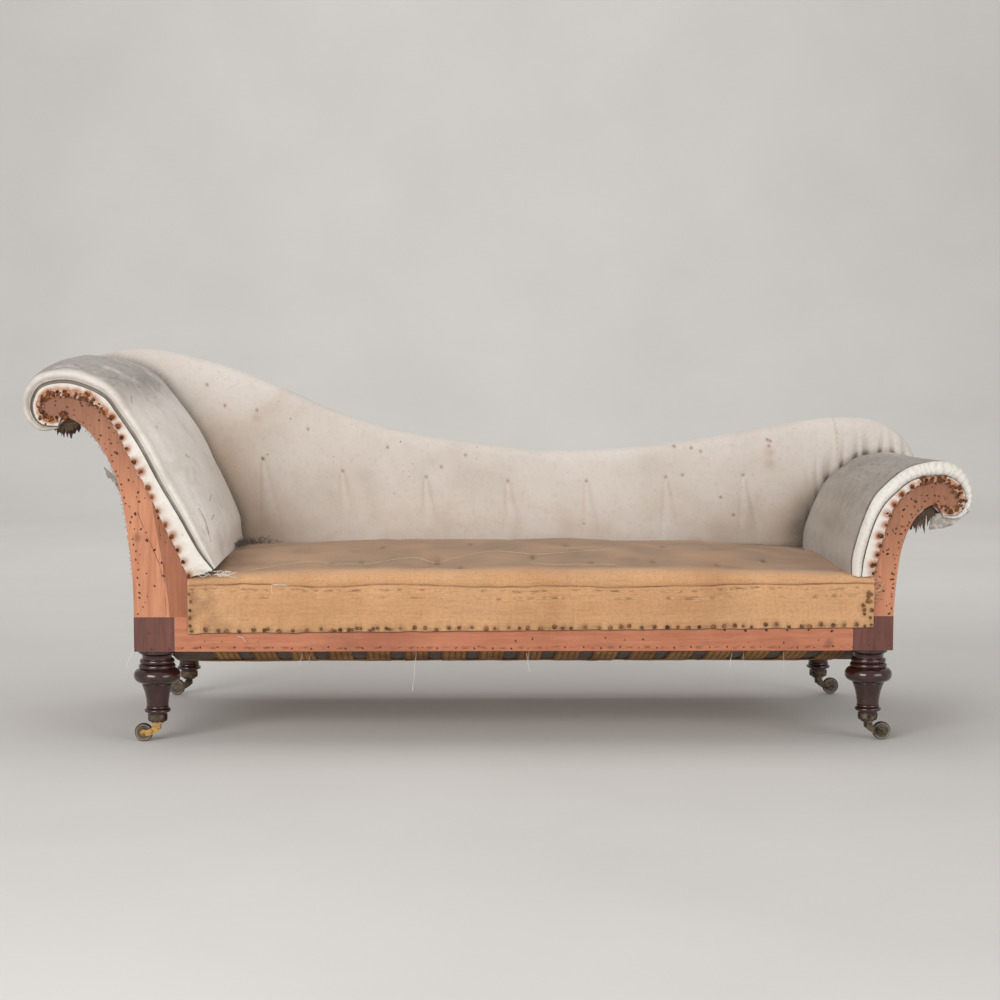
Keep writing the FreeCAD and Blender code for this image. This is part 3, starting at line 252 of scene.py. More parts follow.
def hessian(name, golden, grey, dark, lie=None):
    """Coarse jute: golden where clean, greyer where dusty, with slubs along both threads."""
    cloth = Finish(name, lie, roughness=0.95, sheen_weight=0.15, sheen_roughness=0.5)
    along, across = [cloth.noise(1.0, 4.0, 0.6, at=cloth.place(scale, cloth=True))
                     for scale in ((14, 330, 1), (330, 14, 1))]
    slubs = cloth.calc("MAXIMUM", cloth.span(along, 0.55, 0.72), cloth.span(across, 0.58, 0.74))
    threads = cloth.weave(0.0024)
    dirt_and_shade_patches = cloth.span(cloth.noise(55.0, 4.0, 0.6), 0.3, 0.7, 0.4, 1.0)
    colour = cloth.layers(
        golden, (cloth.own("dust"), grey),
        (cloth.span(cloth.noise(4.0, 5.0, 0.6, 0.3), 0.45, 0.72, 0.0, 0.55), dark),
        (cloth.span(cloth.noise(210.0, 3.0, 0.7), 0.46, 0.7, 0.0, 0.4), dark),
        (cloth.times(slubs, 0.42), dark), (cloth.times(cloth.span(along, 0.45, 0.28), 0.3), "eecb9c"),
        # Darker between the threads, as painted shade in the weave
        (cloth.span(threads, 0.35, 0.0, 0.0, 0.5), dark),
        # Dirt, and the painted shade of the seat's seam groove
        (cloth.times(cloth.own("dirt"), dirt_and_shade_patches), "5c422a"))
    cloth.finish(colour, cloth.plus(threads, cloth.times(slubs, 0.5)), 0.6, 0.0014)


def tacking_smudges(wood):
    """Smudges where the bottom cloth was once tacked, every 37 mm along the rail's lower edge."""
    sway = wood.times(wood.noise(18.0), 3.0)
    beat = wood.calc("SINE", wood.plus(wood.times(wood.axis("X"), 2 * math.pi / 0.037), sway))
    low = wood.times(wood.span(wood.axis("Z"), 0.1965, 0.1985), wood.span(wood.axis("Z"), 0.2045, 0.2015))
    wide = wood.span(wood.noise(1.0, 4.0, 0.7, at=wood.place((60, 60, 260))), 0.42, 0.6)
    return wood.times(wood.times(wood.times(wood.span(beat, -0.1, 0.8), low), wide), 0.75)


def bare_wood(name, along, pale="c47e5c", deep="b06a4a", dark="8c4c36"):
    """Unfinished hardwood with its grain along an axis, with grime, knots and the marks of hands."""
    wood = Finish(name, roughness=0.62)
    scale = [1.6 if axis == along else 26 for axis in "XYZ"]
    grain = wood.noise(5.0, 5.0, 0.6, 0.6, wood.place(scale))
    pores = wood.noise(5.0, 3.0, 0.6, at=wood.place([size * 9 for size in scale]))
    coats = [(wood.span(grain, 0.3, 0.7), deep),
             (wood.span(wood.noise(5.0, 4.0, 0.55), 0.5, 0.75, 0.0, 0.55), dark),
             (wood.span(pores, 0.52, 0.75, 0.0, 0.4), dark),
             (wood.times(wood.spots(7.5, 0.035, 0.1), 0.6), "5c3e32")]
    if name == "rail_wood":
        coats.append((tacking_smudges(wood), "543428"))
    # Darkened by hands towards both scrolls; the foot scroll is 0.17 m lower
    foot_end = wood.times(wood.calc("GREATER_THAN", wood.axis("X")), 0.17)
    handled = wood.span(wood.plus(wood.axis("Z"), foot_end), 0.5, 0.7, 0.0, 0.72)
    coats += [(wood.span(wood.noise(13.0, 6.0, 0.7), 0.56, 0.8, 0.0, 0.5), "76584c"), (handled, "704934")]
    relief = wood.plus(wood.times(grain, 0.5), wood.times(pores, 0.5))
    wood.finish(wood.layers(pale, *coats), relief, 0.35, 0.0012, wood.span(grain, 0.3, 0.7, 0.5, 0.7))


def turned_mahogany():
    """Polished dark legs under dull, rubbed blocks."""
    wood = Finish("turned_mahogany", roughness=0.2, coat_weight=0.6, coat_roughness=0.12)
    grain = wood.noise(4.0, 5.0, 0.6, 0.5, wood.place((30, 30, 2.5)))
    rub = wood.noise(16.0, 6.0, 0.7)
    scratch = wood.noise(2.0, 3.0, 0.7, at=wood.place((20, 20, 160), (0.5, 0.3, 0.7)))
    block = wood.span(wood.axis("Z"), 0.1926, 0.1932)
    streaks = wood.span(grain, 0.3, 0.7)
    polished = wood.layers("421b12", (streaks, "1a0c09"), (wood.span(rub, 0.62, 0.8, 0.0, 0.35), "70422c"))
    dull = wood.layers("743a2a", (streaks, "52281f"), (wood.span(rub, 0.5, 0.75, 0.0, 0.5), "4a2e2a"),
                       (wood.span(scratch, 0.68, 0.76, 0.0, 0.5), "aa8274"))
    rough = wood.plus(wood.times(block, 0.42), wood.span(rub, 0.3, 0.8, 0.14, 0.36))
    wood.finish(wood.mix(block, polished, dull), wood.plus(grain, scratch), 0.12, 0.0008, rough)


def metal(name, bright, dark, low, high, roughness=0.35, pits=60.0, metallic=0.9):
    """Old metal: bright where rubbed, dark in its tarnish, with small pits."""
    made = Finish(name, metallic=metallic, roughness=roughness)
    tarnish = made.noise(pits, 6.0, 0.65)
    pit = made.spots(pits * 9, 0.15, 0.4)
    colour = made.layers(bright, (made.span(tarnish, low, high), dark), (made.times(pit, 0.7), dark))
    rough = made.span(tarnish, low, high, roughness - 0.08, roughness + 0.25)
    made.finish(colour, made.calc("SUBTRACT", tarnish, pit), 0.3, 0.0006, rough)


def wheel_metal(name, centre_x, centre_z=0.019):
    """A castor wheel: a dark worn tread, a pale ring inside it as a painted highlight, and a dull face."""
    made = Finish(name, metallic=0.7, roughness=0.42)
    across = made.calc("SUBTRACT", made.axis("X"), centre_x)
    up = made.calc("SUBTRACT", made.axis("Z"), centre_z)
    away = made.calc("SQRT", made.plus(made.times(across, across), made.times(up, up)))
    tarnish = made.noise(90.0, 5.0, 0.65)
    # The pale ring is a painted highlight
    ring = made.times(made.span(away, 0.0142, 0.0150), made.span(away, 0.0172, 0.0164))
    colour = made.layers("807364", (made.span(tarnish, 0.36, 0.64), "52473c"),
                         (made.times(ring, 0.8), "ccc2b0"), (made.span(away, 0.0170, 0.0178), "2e2824"))
    made.finish(colour, tarnish, 0.3, 0.0006)


def webbing_cloth(name, lie=None, stripe_pitch=0.0125):
    """Jute webbing with dark stripes, browned and dusty."""
    cloth = Finish(name, lie, roughness=0.9)
    across = cloth.axis("X", cloth.place(cloth=True))
    stripe = cloth.span(cloth.calc("SINE", cloth.times(across, 2 * math.pi / stripe_pitch)), 0.35, 0.6)
    ribs = cloth.weave(0.0016)
    # The pale base is painted light, for straps that hang in shade under the seat; darker between the ribs is
    # painted shade
    colour = cloth.layers("ce9858", (cloth.span(cloth.noise(9.0, 5.0, 0.6), 0.35, 0.65), "926438"),
                          (cloth.times(stripe, 0.5), "3e2a1e"),
                          (cloth.span(ribs, 0.4, 0.0, 0.0, 0.5), "3c2a1c"))
    cloth.finish(colour, ribs, 0.6, 0.0012)


def plain_thread(name, pale, dark):
    """Twine, tow, horsehair, and other small dull things."""
    made = Finish(name, roughness=0.85)
    vary = made.noise(70.0, 3.0)
    made.finish(made.mix(vary, pale, dark), vary, 0.3, 0.0005)


for maker, kinds in (
        # calico_head is lighter than the other calico as painted light, for the head pad's face that the
        # window lights less
        (calico, [("calico_head", "ece3d9", "dfd5cb", "b8a690", "92887e"),
                  ("calico_foot", "eee9e0", "ded4c6", "78624d", "7e7061"),
                  ("calico_back", "ded5cc", "d4c9be", "be9e7a"),
                  ("calico_border", "f0ebe2", "e4ddd2", "bca68a"),
                  ("old_calico", "ded8ce", "bab2a8", "786858")]),
        (hessian, [("hessian", "e6b282", "957d65", "ae7a4c"), ("old_hessian", "5c4634", "463a30", "32261e"),
                   ("back_hessian", "c4986a", "9c856e", "8c623e", "XZ"),
                   ("end_hessian", "c4986a", "9c856e", "8c623e", "YZ"),
                   ("flat_hessian", "b48a5e", "9c856e", "7c5838", "XY")]),
        (bare_wood, [("rail_wood", "X"), ("cross_rail_wood", "Y"), ("upright_wood", "Z"),
                     ("scroll_board_wood", "Z", "d08e68", "b47252", "8c543e"),
                     ("wedge_wood", "Z", "a66846", "94563a", "74422e")]),
        (turned_mahogany, [()]),
        (metal, [("castor_brass", "807260", "322b25", 0.4, 0.62),
                 ("bright_brass", "deb06c", "604024", 0.46, 0.66, 0.42, 170.0),
                 ("axle_iron", "786c62", "3c302a", 0.4, 0.6, 0.5),
                 ("rusty_tacks", "8e542a", "402619", 0.4, 0.58, 0.75, 110.0, 0.3),
                 ("dark_tacks", "9c6c42", "462e20", 0.4, 0.62, 0.6, 110.0, 0.3),
                 ("spring_wire", "786254", "3e2c24", 0.4, 0.65, 0.45, 30.0)]),
        (wheel_metal, [("head_wheels", -0.7405), ("foot_wheels", 0.792)]),
        (webbing_cloth, [("striped_webbing",), ("upright_webbing", "XZ"), ("end_webbing", "YZ")]),
        (plain_thread, [("pale_twine", "e6ceac", "c4a680"), ("white_wadding", "f4f0e8", "ded6ca"),
                        ("horsehair", "807870", "3a3430"), ("rust_crust", "7a4822", "3a2418"),
                        ("dark_fibre", "5c4838", "2c221c"), ("tack_hole", "683e2c", "3e241a"),
                        ("deep_hole", "52342a", "2c1e1a")])):
    for kind in kinds:
        maker(*kind)


# Mesh helpers
def run_along(line):
    """The length of a line up to each of its points."""
    return np.concatenate([[0.0], np.cumsum(np.linalg.norm(np.diff(line, axis=0), axis=1))])


def even(dense, count):
    """The same line with its points evenly spaced."""
    run = run_along(dense)
    at = np.linspace(0, run[-1], count)
    return np.column_stack([np.interp(at, run, values) for values in dense.T])


def smooth(points, count):
    """Evenly spaced points on a smooth line through the given ones."""
    given = np.array(points, float)
    held = np.vstack([2 * given[0] - given[1], given, 2 * given[-1] - given[-2]])
    share = np.linspace(0, 1, 24, endpoint=False)[:, None]
    dense = []
    for a, b, c, d in zip(held, held[1:], held[2:], held[3:]):
        dense.append(0.5 * (2 * b + (c - a) * share + (2 * a - 5 * b + 4 * c - d) * share ** 2
                            + (3 * b - a - 3 * c + d) * share ** 3))
    return even(np.vstack(dense + [given[-1:]]), count)


def on_board(leg_x, line):
    """A line given from a leg's axis and the rails' top, in the front view."""
    return [(leg_x + x, rail_top + z) for x, z in line]


def stacked(rows, count):
    """A grid from its rows, each given by its x, y and z."""
    grid = np.zeros((len(rows), count, 3))
    for i, row in enumerate(rows):
        for k, values in enumerate(row):
            grid[i, :, k] = values
    return grid


def side_normals(line, side):
    """Unit normals of an (x, z) line on its left (1) or right (-1)."""
    way = np.gradient(line, axis=0)
    way /= np.linalg.norm(way, axis=1)[:, None]
    return np.column_stack([-side * way[:, 1], side * way[:, 0]])


def surface_normals(grid):
    found = np.cross(np.gradient(grid, axis=1), np.gradient(grid, axis=0))
    return found / np.maximum(np.linalg.norm(found, axis=2), 1e-9)[..., None]


def lumps(grid, size, seed):
    """Smooth noise from -1 to 1 at each point of a grid, with lumps of a size in millimetres."""
    flat = grid.reshape(-1, 3) / size + seed * 17.3
    return np.array([noise.noise(Vector(point)) for point in flat]).reshape(grid.shape[:2])


def nearest(grid, points):
    """Distance from each grid point to the nearest of some points."""
    least = np.full(grid.shape[:2], 1e9)
    for point in np.array(points, float):
        least = np.minimum(least, np.linalg.norm(grid - point, axis=2))
    return least


def bell(value, reach):
    """1 where a value is nought, fading out over the reach."""
    return np.exp(-(value / reach) ** 2)


def near(grid, points, reach):
    """1 on any of some points, fading out over the reach."""
    return bell(nearest(grid, points), reach)


def step_up(value, low, high):
    """0 up to one bound and 1 beyond the other, with a smooth rise between them."""
    share = np.clip((value - low) / (high - low), 0, 1)
    return share * share * (3 - 2 * share)


def fade_rows(start, end, rows, count):
    """Values that change evenly from a grid's first row to its last."""
    return np.tile(np.linspace(start, end, rows)[:, None], (1, count))


def with_tail(marks, rows):
    """Marks with rows of nought added for a pad's hidden side."""
    return {key: np.pad(values, ((0, rows), (0, 0))) for key, values in marks.items()}


def link(name, mesh, material=None):
    made = bpy.data.objects.new(name, mesh)
    bpy.context.scene.collection.objects.link(made)
    if material:
        mesh.materials.append(finishes[material])
    return made


def grid_piece(name, grid, material, marks=None, closed=False):
    """A mesh of quads from a grid of points in millimetres, with its cloth map in metres and named marks."""
    rows, columns = grid.shape[:2]
    mesh = bpy.data.meshes.new(name)
    quads = []
    for i in range(rows if closed else rows - 1):
        low, high = i * columns, (i + 1) % rows * columns
        quads += [(low + k, low + k + 1, high + k + 1, high + k) for k in range(columns - 1)]
    if closed:
        starts = range(0, rows * columns, columns)
        quads += [list(starts), [start + columns - 1 for start in reversed(starts)]]
    mesh.from_pydata((grid.reshape(-1, 3) / 1000).tolist(), [], quads)
    across = np.cumsum(np.linalg.norm(np.diff(grid, axis=0), axis=2), axis=0)
    across = np.vstack([np.zeros((1, columns)), across])
    along = np.tile(run_along(grid[rows // 2]), (rows, 1))
    places = np.column_stack([along.ravel(), across.ravel()]) / 1000
    corners = np.zeros(len(mesh.loops), dtype=np.int64)
    mesh.loops.foreach_get("vertex_index", corners)
    mesh.uv_layers.new(name="cloth").data.foreach_set("uv", places[corners].ravel())
    for mark in ("dirt", "dust", "rust", "soot"):
        values = np.clip((marks or {}).get(mark, np.zeros((rows, columns))), 0, 1)
        mesh.attributes.new(mark, "FLOAT", "POINT").data.foreach_set("value", values.ravel())
    mesh.shade_smooth()
    if closed:
        box = bmesh.new()
        box.from_mesh(mesh)
        bmesh.ops.recalc_face_normals(box, faces=box.faces)
        box.to_mesh(mesh)
        box.free()
    return link(name, mesh, material)


def applied(piece):
    """Replaces a piece's mesh by what its modifiers make of it."""
    bpy.context.view_layer.update()
    ready = piece.evaluated_get(bpy.context.evaluated_depsgraph_get())
    mesh = bpy.data.meshes.new_from_object(ready)
    piece.modifiers.clear()
    old = piece.data
    piece.data = mesh
    bpy.data.meshes.remove(old)
    mesh.name = piece.name
    return piece


def thickened(piece, thickness, offset=0.0):
    """Gives a sheet its thickness and makes it a plain mesh again."""
    wall = piece.modifiers.new("thickness", "SOLIDIFY")
    wall.thickness = thickness / 1000
    wall.offset = offset
    return applied(piece)


# Node trees for what repeats
def tree_with(name, **inputs):
    """A geometry tree with a mesh in and out, and named inputs."""
    tree = bpy.data.node_groups.new(name, "GeometryNodeTree")
    found = {}
    for label, kind in {"Geometry": "Geometry", **inputs}.items():
        socket = tree.interface.new_socket(label, in_out="INPUT", socket_type="NodeSocket" + kind)
        found[label] = socket.identifier
    tree.interface.new_socket("Geometry", in_out="OUTPUT", socket_type="NodeSocketGeometry")
    return tree, tree.nodes.new("NodeGroupInput").outputs, found


def end_tree(tree, given, shape):
    """Each tree ends with real meshes in the finish given."""
    real = add_node(tree, "GeometryNodeRealizeInstances", {0: shape}).outputs[0]
    paint = add_node(tree, "GeometryNodeSetMaterial", {"Geometry": real, "Material": given["Finish"]})
    add_node(tree, "NodeGroupOutput", {0: paint.outputs[0]})


def scatter_tree():
    """Puts an item on each point, aimed along the point's aim, spun and sized at random."""
    tree, given, found = tree_with("set_items", Item="Object", Size="Float", Spread="Float", Tilt="Float",
                                   Seed="Int", Finish="Material")

    def add(kind, inputs, outlet=0, **settings):
        return add_node(tree, kind, inputs, **settings).outputs[outlet]

    seed = given["Seed"]
    aim = add("GeometryNodeInputNamedAttribute", {"Name": "aim"}, data_type="FLOAT_VECTOR")
    shake = add("FunctionNodeRandomValue", {0: (-1, -1, -1), 1: (1, 1, 1), "Seed": seed},
                data_type="FLOAT_VECTOR")
    lean = add("ShaderNodeVectorMath", {0: shake, 1: given["Tilt"], 2: aim}, operation="MULTIPLY_ADD")
    face = add("FunctionNodeAlignRotationToVector", {"Vector": lean}, axis="Z")
    spin = add("FunctionNodeRandomValue", {3: 2 * math.pi, "Seed": seed}, 1, data_type="FLOAT")
    turn = add("FunctionNodeEulerToRotation", {0: add("ShaderNodeCombineXYZ", {2: spin})})
    both = add("FunctionNodeRotateRotation", {0: face, 1: turn}, rotation_space="LOCAL")
    low, high = [add("ShaderNodeMath", {0: given["Size"], 1: given["Spread"]}, operation=way)
                 for way in ("SUBTRACT", "ADD")]
    size = add("FunctionNodeRandomValue", {2: low, 3: high, "Seed": seed}, 1, data_type="FLOAT")
    item = add("GeometryNodeObjectInfo", {0: given["Item"]}, "Geometry")
    end_tree(tree, given, add("GeometryNodeInstanceOnPoints", {
        "Points": given["Geometry"], "Instance": item, "Rotation": both, "Scale": size}))
    return tree, found


def thread_tree():
    """Gives every line of a wire mesh the thickness of a thread."""
    tree, given, found = tree_with("spin_threads", Thickness="Float", Finish="Material")
    path = add_node(tree, "GeometryNodeMeshToCurve", {0: given["Geometry"]})
    ring = add_node(tree, "GeometryNodeCurvePrimitiveCircle", {"Resolution": 5, "Radius": given["Thickness"]})
    tube = add_node(tree, "GeometryNodeCurveToMesh", {
        "Curve": path.outputs[0], "Profile Curve": ring.outputs[0], "Fill Caps": True})
    flow = add_node(tree, "GeometryNodeSetShadeSmooth", {"Geometry": tube.outputs[0]})
    end_tree(tree, given, flow.outputs[0])
    return tree, found


set_items, spin_threads = scatter_tree(), thread_tree()


def done(piece, slot, *nodes):
    """Every piece rides on the frame and stands for the nodes given; its slot is not used."""
    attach(piece, "frame")
    if nodes:
        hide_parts(*nodes)
    return piece


def run_tree(piece, tree, material, **values):
    change = piece.modifiers.new("tree", "NODES")
    change.node_group, found = tree
    for label, value in {**values, "Finish": finishes[material]}.items():
        change[found[label]] = value
    return applied(piece)


def scatter(name, points, item, material, numbers, slot, *nodes):
    """Items on points in millimetres, facing forward; numbers: size, its spread, tilt and seed."""
    mesh = bpy.data.meshes.new(name)
    mesh.from_pydata([[c / 1000 for c in point] for point in points], [], [])
    aims = np.tile((0.0, -1.0, 0.0), len(points))
    mesh.attributes.new("aim", "FLOAT_VECTOR", "POINT").data.foreach_set("vector", aims)
    size, spread, tilt, seed = numbers
    made = run_tree(link(name, mesh), set_items, material, Item=item, Size=size, Spread=spread, Tilt=tilt,
                    Seed=seed)
    done(made, slot, *nodes)


def threads(name, lines, thickness, material, slot):
    """Thin threads along lines of points in millimetres."""
    points, edges = [], []
    for line in lines:
        edges += [(len(points) + i, len(points) + i + 1) for i in range(len(line) - 1)]
        points += [[c / 1000 for c in point] for point in line]
    mesh = bpy.data.meshes.new(name)
    mesh.from_pydata(points, edges, [])
    done(run_tree(link(name, mesh), spin_threads, material, Thickness=thickness / 2000), slot)


def ringed_item(name, rings, sides, outline, bottom):
    """A small thing in rings, (radius, height) each, standing on Z = 0; its outline makes it uneven."""
    points = [[c / 1000 for c in (*outline(k, 2 * math.pi * k / sides, radius, height), height)]
              for radius, height in rings for k in range(sides)]
    faces = [(row + k, row + (k + 1) % sides, row + sides + (k + 1) % sides, row + sides + k)
             for row in range(0, sides * (len(rings) - 1), sides) for k in range(sides)]
    faces.append(list(range(len(points) - sides, len(points))))
    if bottom:
        faces.append(list(reversed(range(sides))))
    mesh = bpy.data.meshes.new(name)
    mesh.from_pydata(points, [], faces)
    return bpy.data.objects.new(name, mesh)


def tack_outline(k, angle, radius, height):
    wide = radius * (1 + 0.1 * math.sin(2.3 * k + height))
    return wide * math.cos(angle), wide * math.sin(angle)


def hole_outline(k, angle, radius, height):
    return 1.25 * radius * math.cos(angle), 0.8 * radius * (1 + 0.2 * math.sin(3 * angle)) * math.sin(angle)


# A hand-cut tack's domed, uneven head, and an old tack hole: a small dark dish with a raised lip
tack_shape = ringed_item("tack_shape", [(3.4, 0.0), (3.3, 0.7), (2.2, 1.5), (0.9, 1.9)], 8, tack_outline,
                         True)
hole_shape = ringed_item("hole_shape", [(1.7, 0.02), (1.4, 0.2), (0.9, 0.08)], 7, hole_outline, False)


# The two end pads
head_end = (head_seam, head_inner_side, head_leg_x, -1)
foot_end = (foot_seam, foot_inner_side, foot_leg_x, 1)


def end_lines(end, count):
    """The seam, with its two thicknesses at each point, and the board's inner edge, from foot to tip."""
    seam, inner_side, leg_x, side = end
    sewn = smooth([(leg_x + x, rail_top + z, roll, full) for (x, z), roll, full in seam], count)
    return sewn, smooth(on_board(leg_x, inner_side), count), side


def profile_rows(profile, split, fine, coarse):
    """A pad's profile with its rows close together in the front roll and wider apart behind it."""
    scale = [28, 45, 1]
    scaled = np.array(profile, float) * scale
    return np.vstack([smooth(scaled[:split + 1], fine), smooth(scaled[split:], coarse)[1:]]) / scale


def end_pad(name, end, profile, shape, material, marks):
    """A closed pad: its outer sheet over the profile, then back along the board's edge."""
    count, hidden, gap = 320, 12, 2.6
    sewn, edge, side = end_lines(end, count)
    roll, full = sewn[:, 2], sewn[:, 3]
    way = side_normals(sewn[:, :2], side)
    steps = profile_rows(profile, 15, 80, 120)
    out = roll * steps[:, :1] + (full - roll) * steps[:, 1:2]
    grid = stacked([(sewn[:, 0] + way[:, 0] * far, front_y + y, sewn[:, 1] + way[:, 1] * far)
                    for far, y in zip(out, steps[:, 2])], count)
    along, depth, reach = np.broadcast_arrays(np.linspace(0, 1, count), steps[:, 2:3], steps[:, :1])
    grid = shape(grid, along, depth, surface_normals(grid) * side)
    under = stacked([(edge[:, 0] + way[:, 0] * gap, front_y + 1 + share * (profile[-1][2] - 1),
                      edge[:, 1] + way[:, 1] * gap) for share in np.linspace(1, 0, hidden)], count)
    found = with_tail(marks(grid, along, depth, reach), hidden)
    pad = grid_piece(name, np.vstack([grid, under]), material, found, closed=True)
    end_name = name.split("_")[0]
    done(pad, "calico", end_name + "_stuffing", end_name + "_cover")
    return grid


def on_pad(grid, along, depth, lift=0.5):
    """The point of a pad's outer sheet at a share of its length and a depth behind the front face."""
    column = int(round(along * (grid.shape[1] - 1)))
    ys = grid[:, column, 1] - front_y
    first = int(np.argmin(ys))
    row = first + int(np.argmin(np.abs(ys[first:] - depth)))
    out = surface_normals(grid[row - 1:row + 2, column - 1:column + 2])[1, 1]
    return grid[row, column] + out * lift * np.sign(out @ (grid[row, column] - grid[0, column]))


# Profiles: (share of the roll's thickness, share of what the fullest part adds, depth behind the face)
head_profile = [(0, 0, 2), (0.05, 0, 5.2), (0.14, 0, 6.2), (0.22, 0, 4.0), (0.27, 0, 1.2), (0.31, 0, 1.8),
                (0.36, 0, 0.4), (0.44, 0, -2.6), (0.54, 0, -5.2), (0.64, 0, -6.2), (0.75, 0, -5.2),
                (0.86, 0, -2.0), (0.94, 0, 3), (0.985, 0.01, 9), (1, 0.05, 16), (1, 0.12, 24), (1, 0.36, 50),
                (1, 0.72, 110), (1, 0.98, 230), (1, 1, 380), (1, 0.78, 500), (1, 0.55, 583)]
foot_profile = [(0, 0, 2), (0.02, 0, 2.6), (0.07, 0, 1.4), (0.15, 0, -2), (0.28, 0, -5.4), (0.44, 0, -7.2),
                (0.6, 0, -7), (0.76, 0, -4.6), (0.9, 0, -0.6), (0.99, 0, 5), (1.0, 0, 9), (0.95, 0, 12),
                (0.93, 0, 14), (0.96, 0, 17), (1.02, 0.02, 24), (1.02, 0.05, 32), (1.02, 0.15, 60),
                (1, 0.6, 180), (1, 0.95, 330), (1, 1, 430), (0.92, 0.9, 520), (0.7, 0.6, 583)]


def shape_head(grid, along, depth, out):
    for scale, size, seed, high in ((1, 110, 1, 3.2), ([1, 0.5, 1], 30, 2, 1.1)):
        grid = grid + out * (lumps(grid * scale, size, seed) * high * step_up(depth, 6, 50))[..., None]
    grid = grid + out * (lumps(grid, 7, 31) * 0.3)[..., None]
    crease = bell(depth - 24 - 6 * np.sin(7 * along), 2.2) * step_up(along, 0.22, 0.1)
    return grid - out * (crease * 2.0)[..., None]


def mark_head(grid, along, depth, reach):
    top = step_up(grid[..., 2], 670, 760) * step_up(depth, -4, 20)
    spread = lumps(grid, 70, 5) * 0.6 + lumps(grid, 18, 33) * 0.4
    # The gutter beside the seam is greyed with dust and painted shade, and its thin ridge is left paler as a
    # painted highlight
    gutter = step_up(reach, 0.34, 0.26) * (depth < 8)
    gutter = gutter * (0.75 + 0.25 * step_up(lumps(grid, 40, 34), -0.3, 0.3))
    ridge = bell(reach - 0.28, 0.025) * (depth < 8)
    low = step_up(along, 0.16, 0.0)
    # Rust stains: share of the length, depth, their two half sizes and strength
    rust = 0.5 * near(grid, [(-640, -326, 372), (-617, -327, 366), (-651, -326, 380)], 7)
    for share, behind, long, deep, strength in ((0.36, 118, 0.006, 5, 1), (0.352, 128, 0.004, 4, 1),
                                                (0.12, 300, 0.005, 6, 1), (0.47, 55, 0.006, 5, 0.5)):
        rust = rust + bell(along - share, long) * bell(depth - behind, deep) * strength
    return {"dust": 1.0 * top * step_up(spread, -0.9, 0.1) + gutter * (1 - 0.7 * ridge)
            + 0.3 * step_up(along, 0.64, 0.9) * step_up(spread, -0.5, 0.2) + 0.1 * step_up(spread, 0.0, 0.4),
            "dirt": 0.2 * step_up(spread, 0.05, 0.5)
            + 0.4 * low * step_up(depth, 60, 6) * step_up(spread, -0.4, 0.2)
            + 0.5 * step_up(depth, 120, 420) * step_up(grid[..., 2], 640, 480)
            + 0.5 * step_up(along, 0.86, 1.0) + 0.3 * gutter,
            # The dark line along the seam and the dark in the gutter are painted shade; the mottling on top
            # is soot
            "soot": 0.75 * step_up(reach, 0.07, 0.0) * (depth < 8) + 0.3 * gutter * (1 - ridge)
            + 0.35 * top * step_up(lumps(grid * [1, 0.4, 1], 9, 44), 0.15, 0.5)
            + 0.3 * step_up(along, 0.7, 1.0) * step_up(lumps(grid, 16, 45), -0.2, 0.4),
            "rust": rust}


def foot_ripple(grid, along):
    """The wrinkles along the foot pad's rim."""
    return np.sin(along * 260 + 5 * lumps(grid, 26, 35))


def shape_foot(grid, along, depth, out):
    for scale, size, seed, high in ((1, 90, 3, 2.2), ([1, 0.12, 1], 40, 4, 0.7)):
        grid = grid + out * (lumps(grid * scale, size, seed) * high * step_up(depth, 14, 40))[..., None]
    ripple = foot_ripple(grid, along) * (0.2 + 0.3 * step_up(along, 0.42, 0.6)) * bell(depth + 1, 7)
    return grid + out * (ripple * 0.8 + lumps(grid, 8, 36) * 0.3)[..., None]


def mark_foot(grid, along, depth, reach):
    top = step_up(grid[..., 2], 480, 550)
    broad = lumps(grid * [1, 0.3, 1], 110, 6)
    fine = lumps(grid * [1, 0.12, 1], 30, 37)
    # The crease behind the rim, the groove at the seam and the hollows of the wrinkles on the rim are
    # darkened as painted shade, and the pad darkens towards its rear
    crease = bell(depth - 16, 5) * (reach > 0.88)
    groove = step_up(reach, 0.07, 0.03) * (depth < 5)
    side = step_up(depth, 10, 15)
    wrinkle = step_up(foot_ripple(grid, along), -0.1, -0.9) * bell(depth + 1, 8) * step_up(along, 0.42, 0.6)
    return {"dust": (0.62 * top + 0.1) * step_up(broad * 0.7 + fine * 0.3, -0.7, 0.2) * side
            + 0.8 * crease * step_up(lumps(grid, 16, 38), -0.4, 0.1) + 0.8 * groove + 0.14 * wrinkle,
            "dirt": side * (0.8 + 0.15 * broad + 0.1 * fine - 0.25 * step_up(along, 0.3, 0.6)) + 0.5 * crease
            + 0.3 * step_up(along, 0.85, 1.0),
            "soot": 0.9 * crease * step_up(lumps(grid, 12, 46), -0.5, 0.1) + 0.8 * groove + 0.12 * wrinkle
            + 0.4 * top * side * step_up(lumps(grid * [1, 0.4, 1], 9, 47), 0.1, 0.5)
            + 0.3 * side * step_up(depth, 440, 583)}


head_surface = end_pad("head_pad", head_end, head_profile, shape_head, "calico_head", mark_head)
foot_surface = end_pad("foot_pad", foot_end, foot_profile, shape_foot, "calico_foot", mark_foot)


# The calico borders tacked along the front of the scroll boards
def tack_run(length, wide, close, turn):
    """Places of tacks along a line: wide apart at first, close together past the turn."""
    places = [4.0]
    while places[-1] < length - 6:
        share = places[-1] / length
        step = wide + (close - wide) * float(step_up(share, turn - 0.08, turn + 0.08))
        places.append(places[-1] + step * uniform(0.8, 1.2))
    return np.array(places)


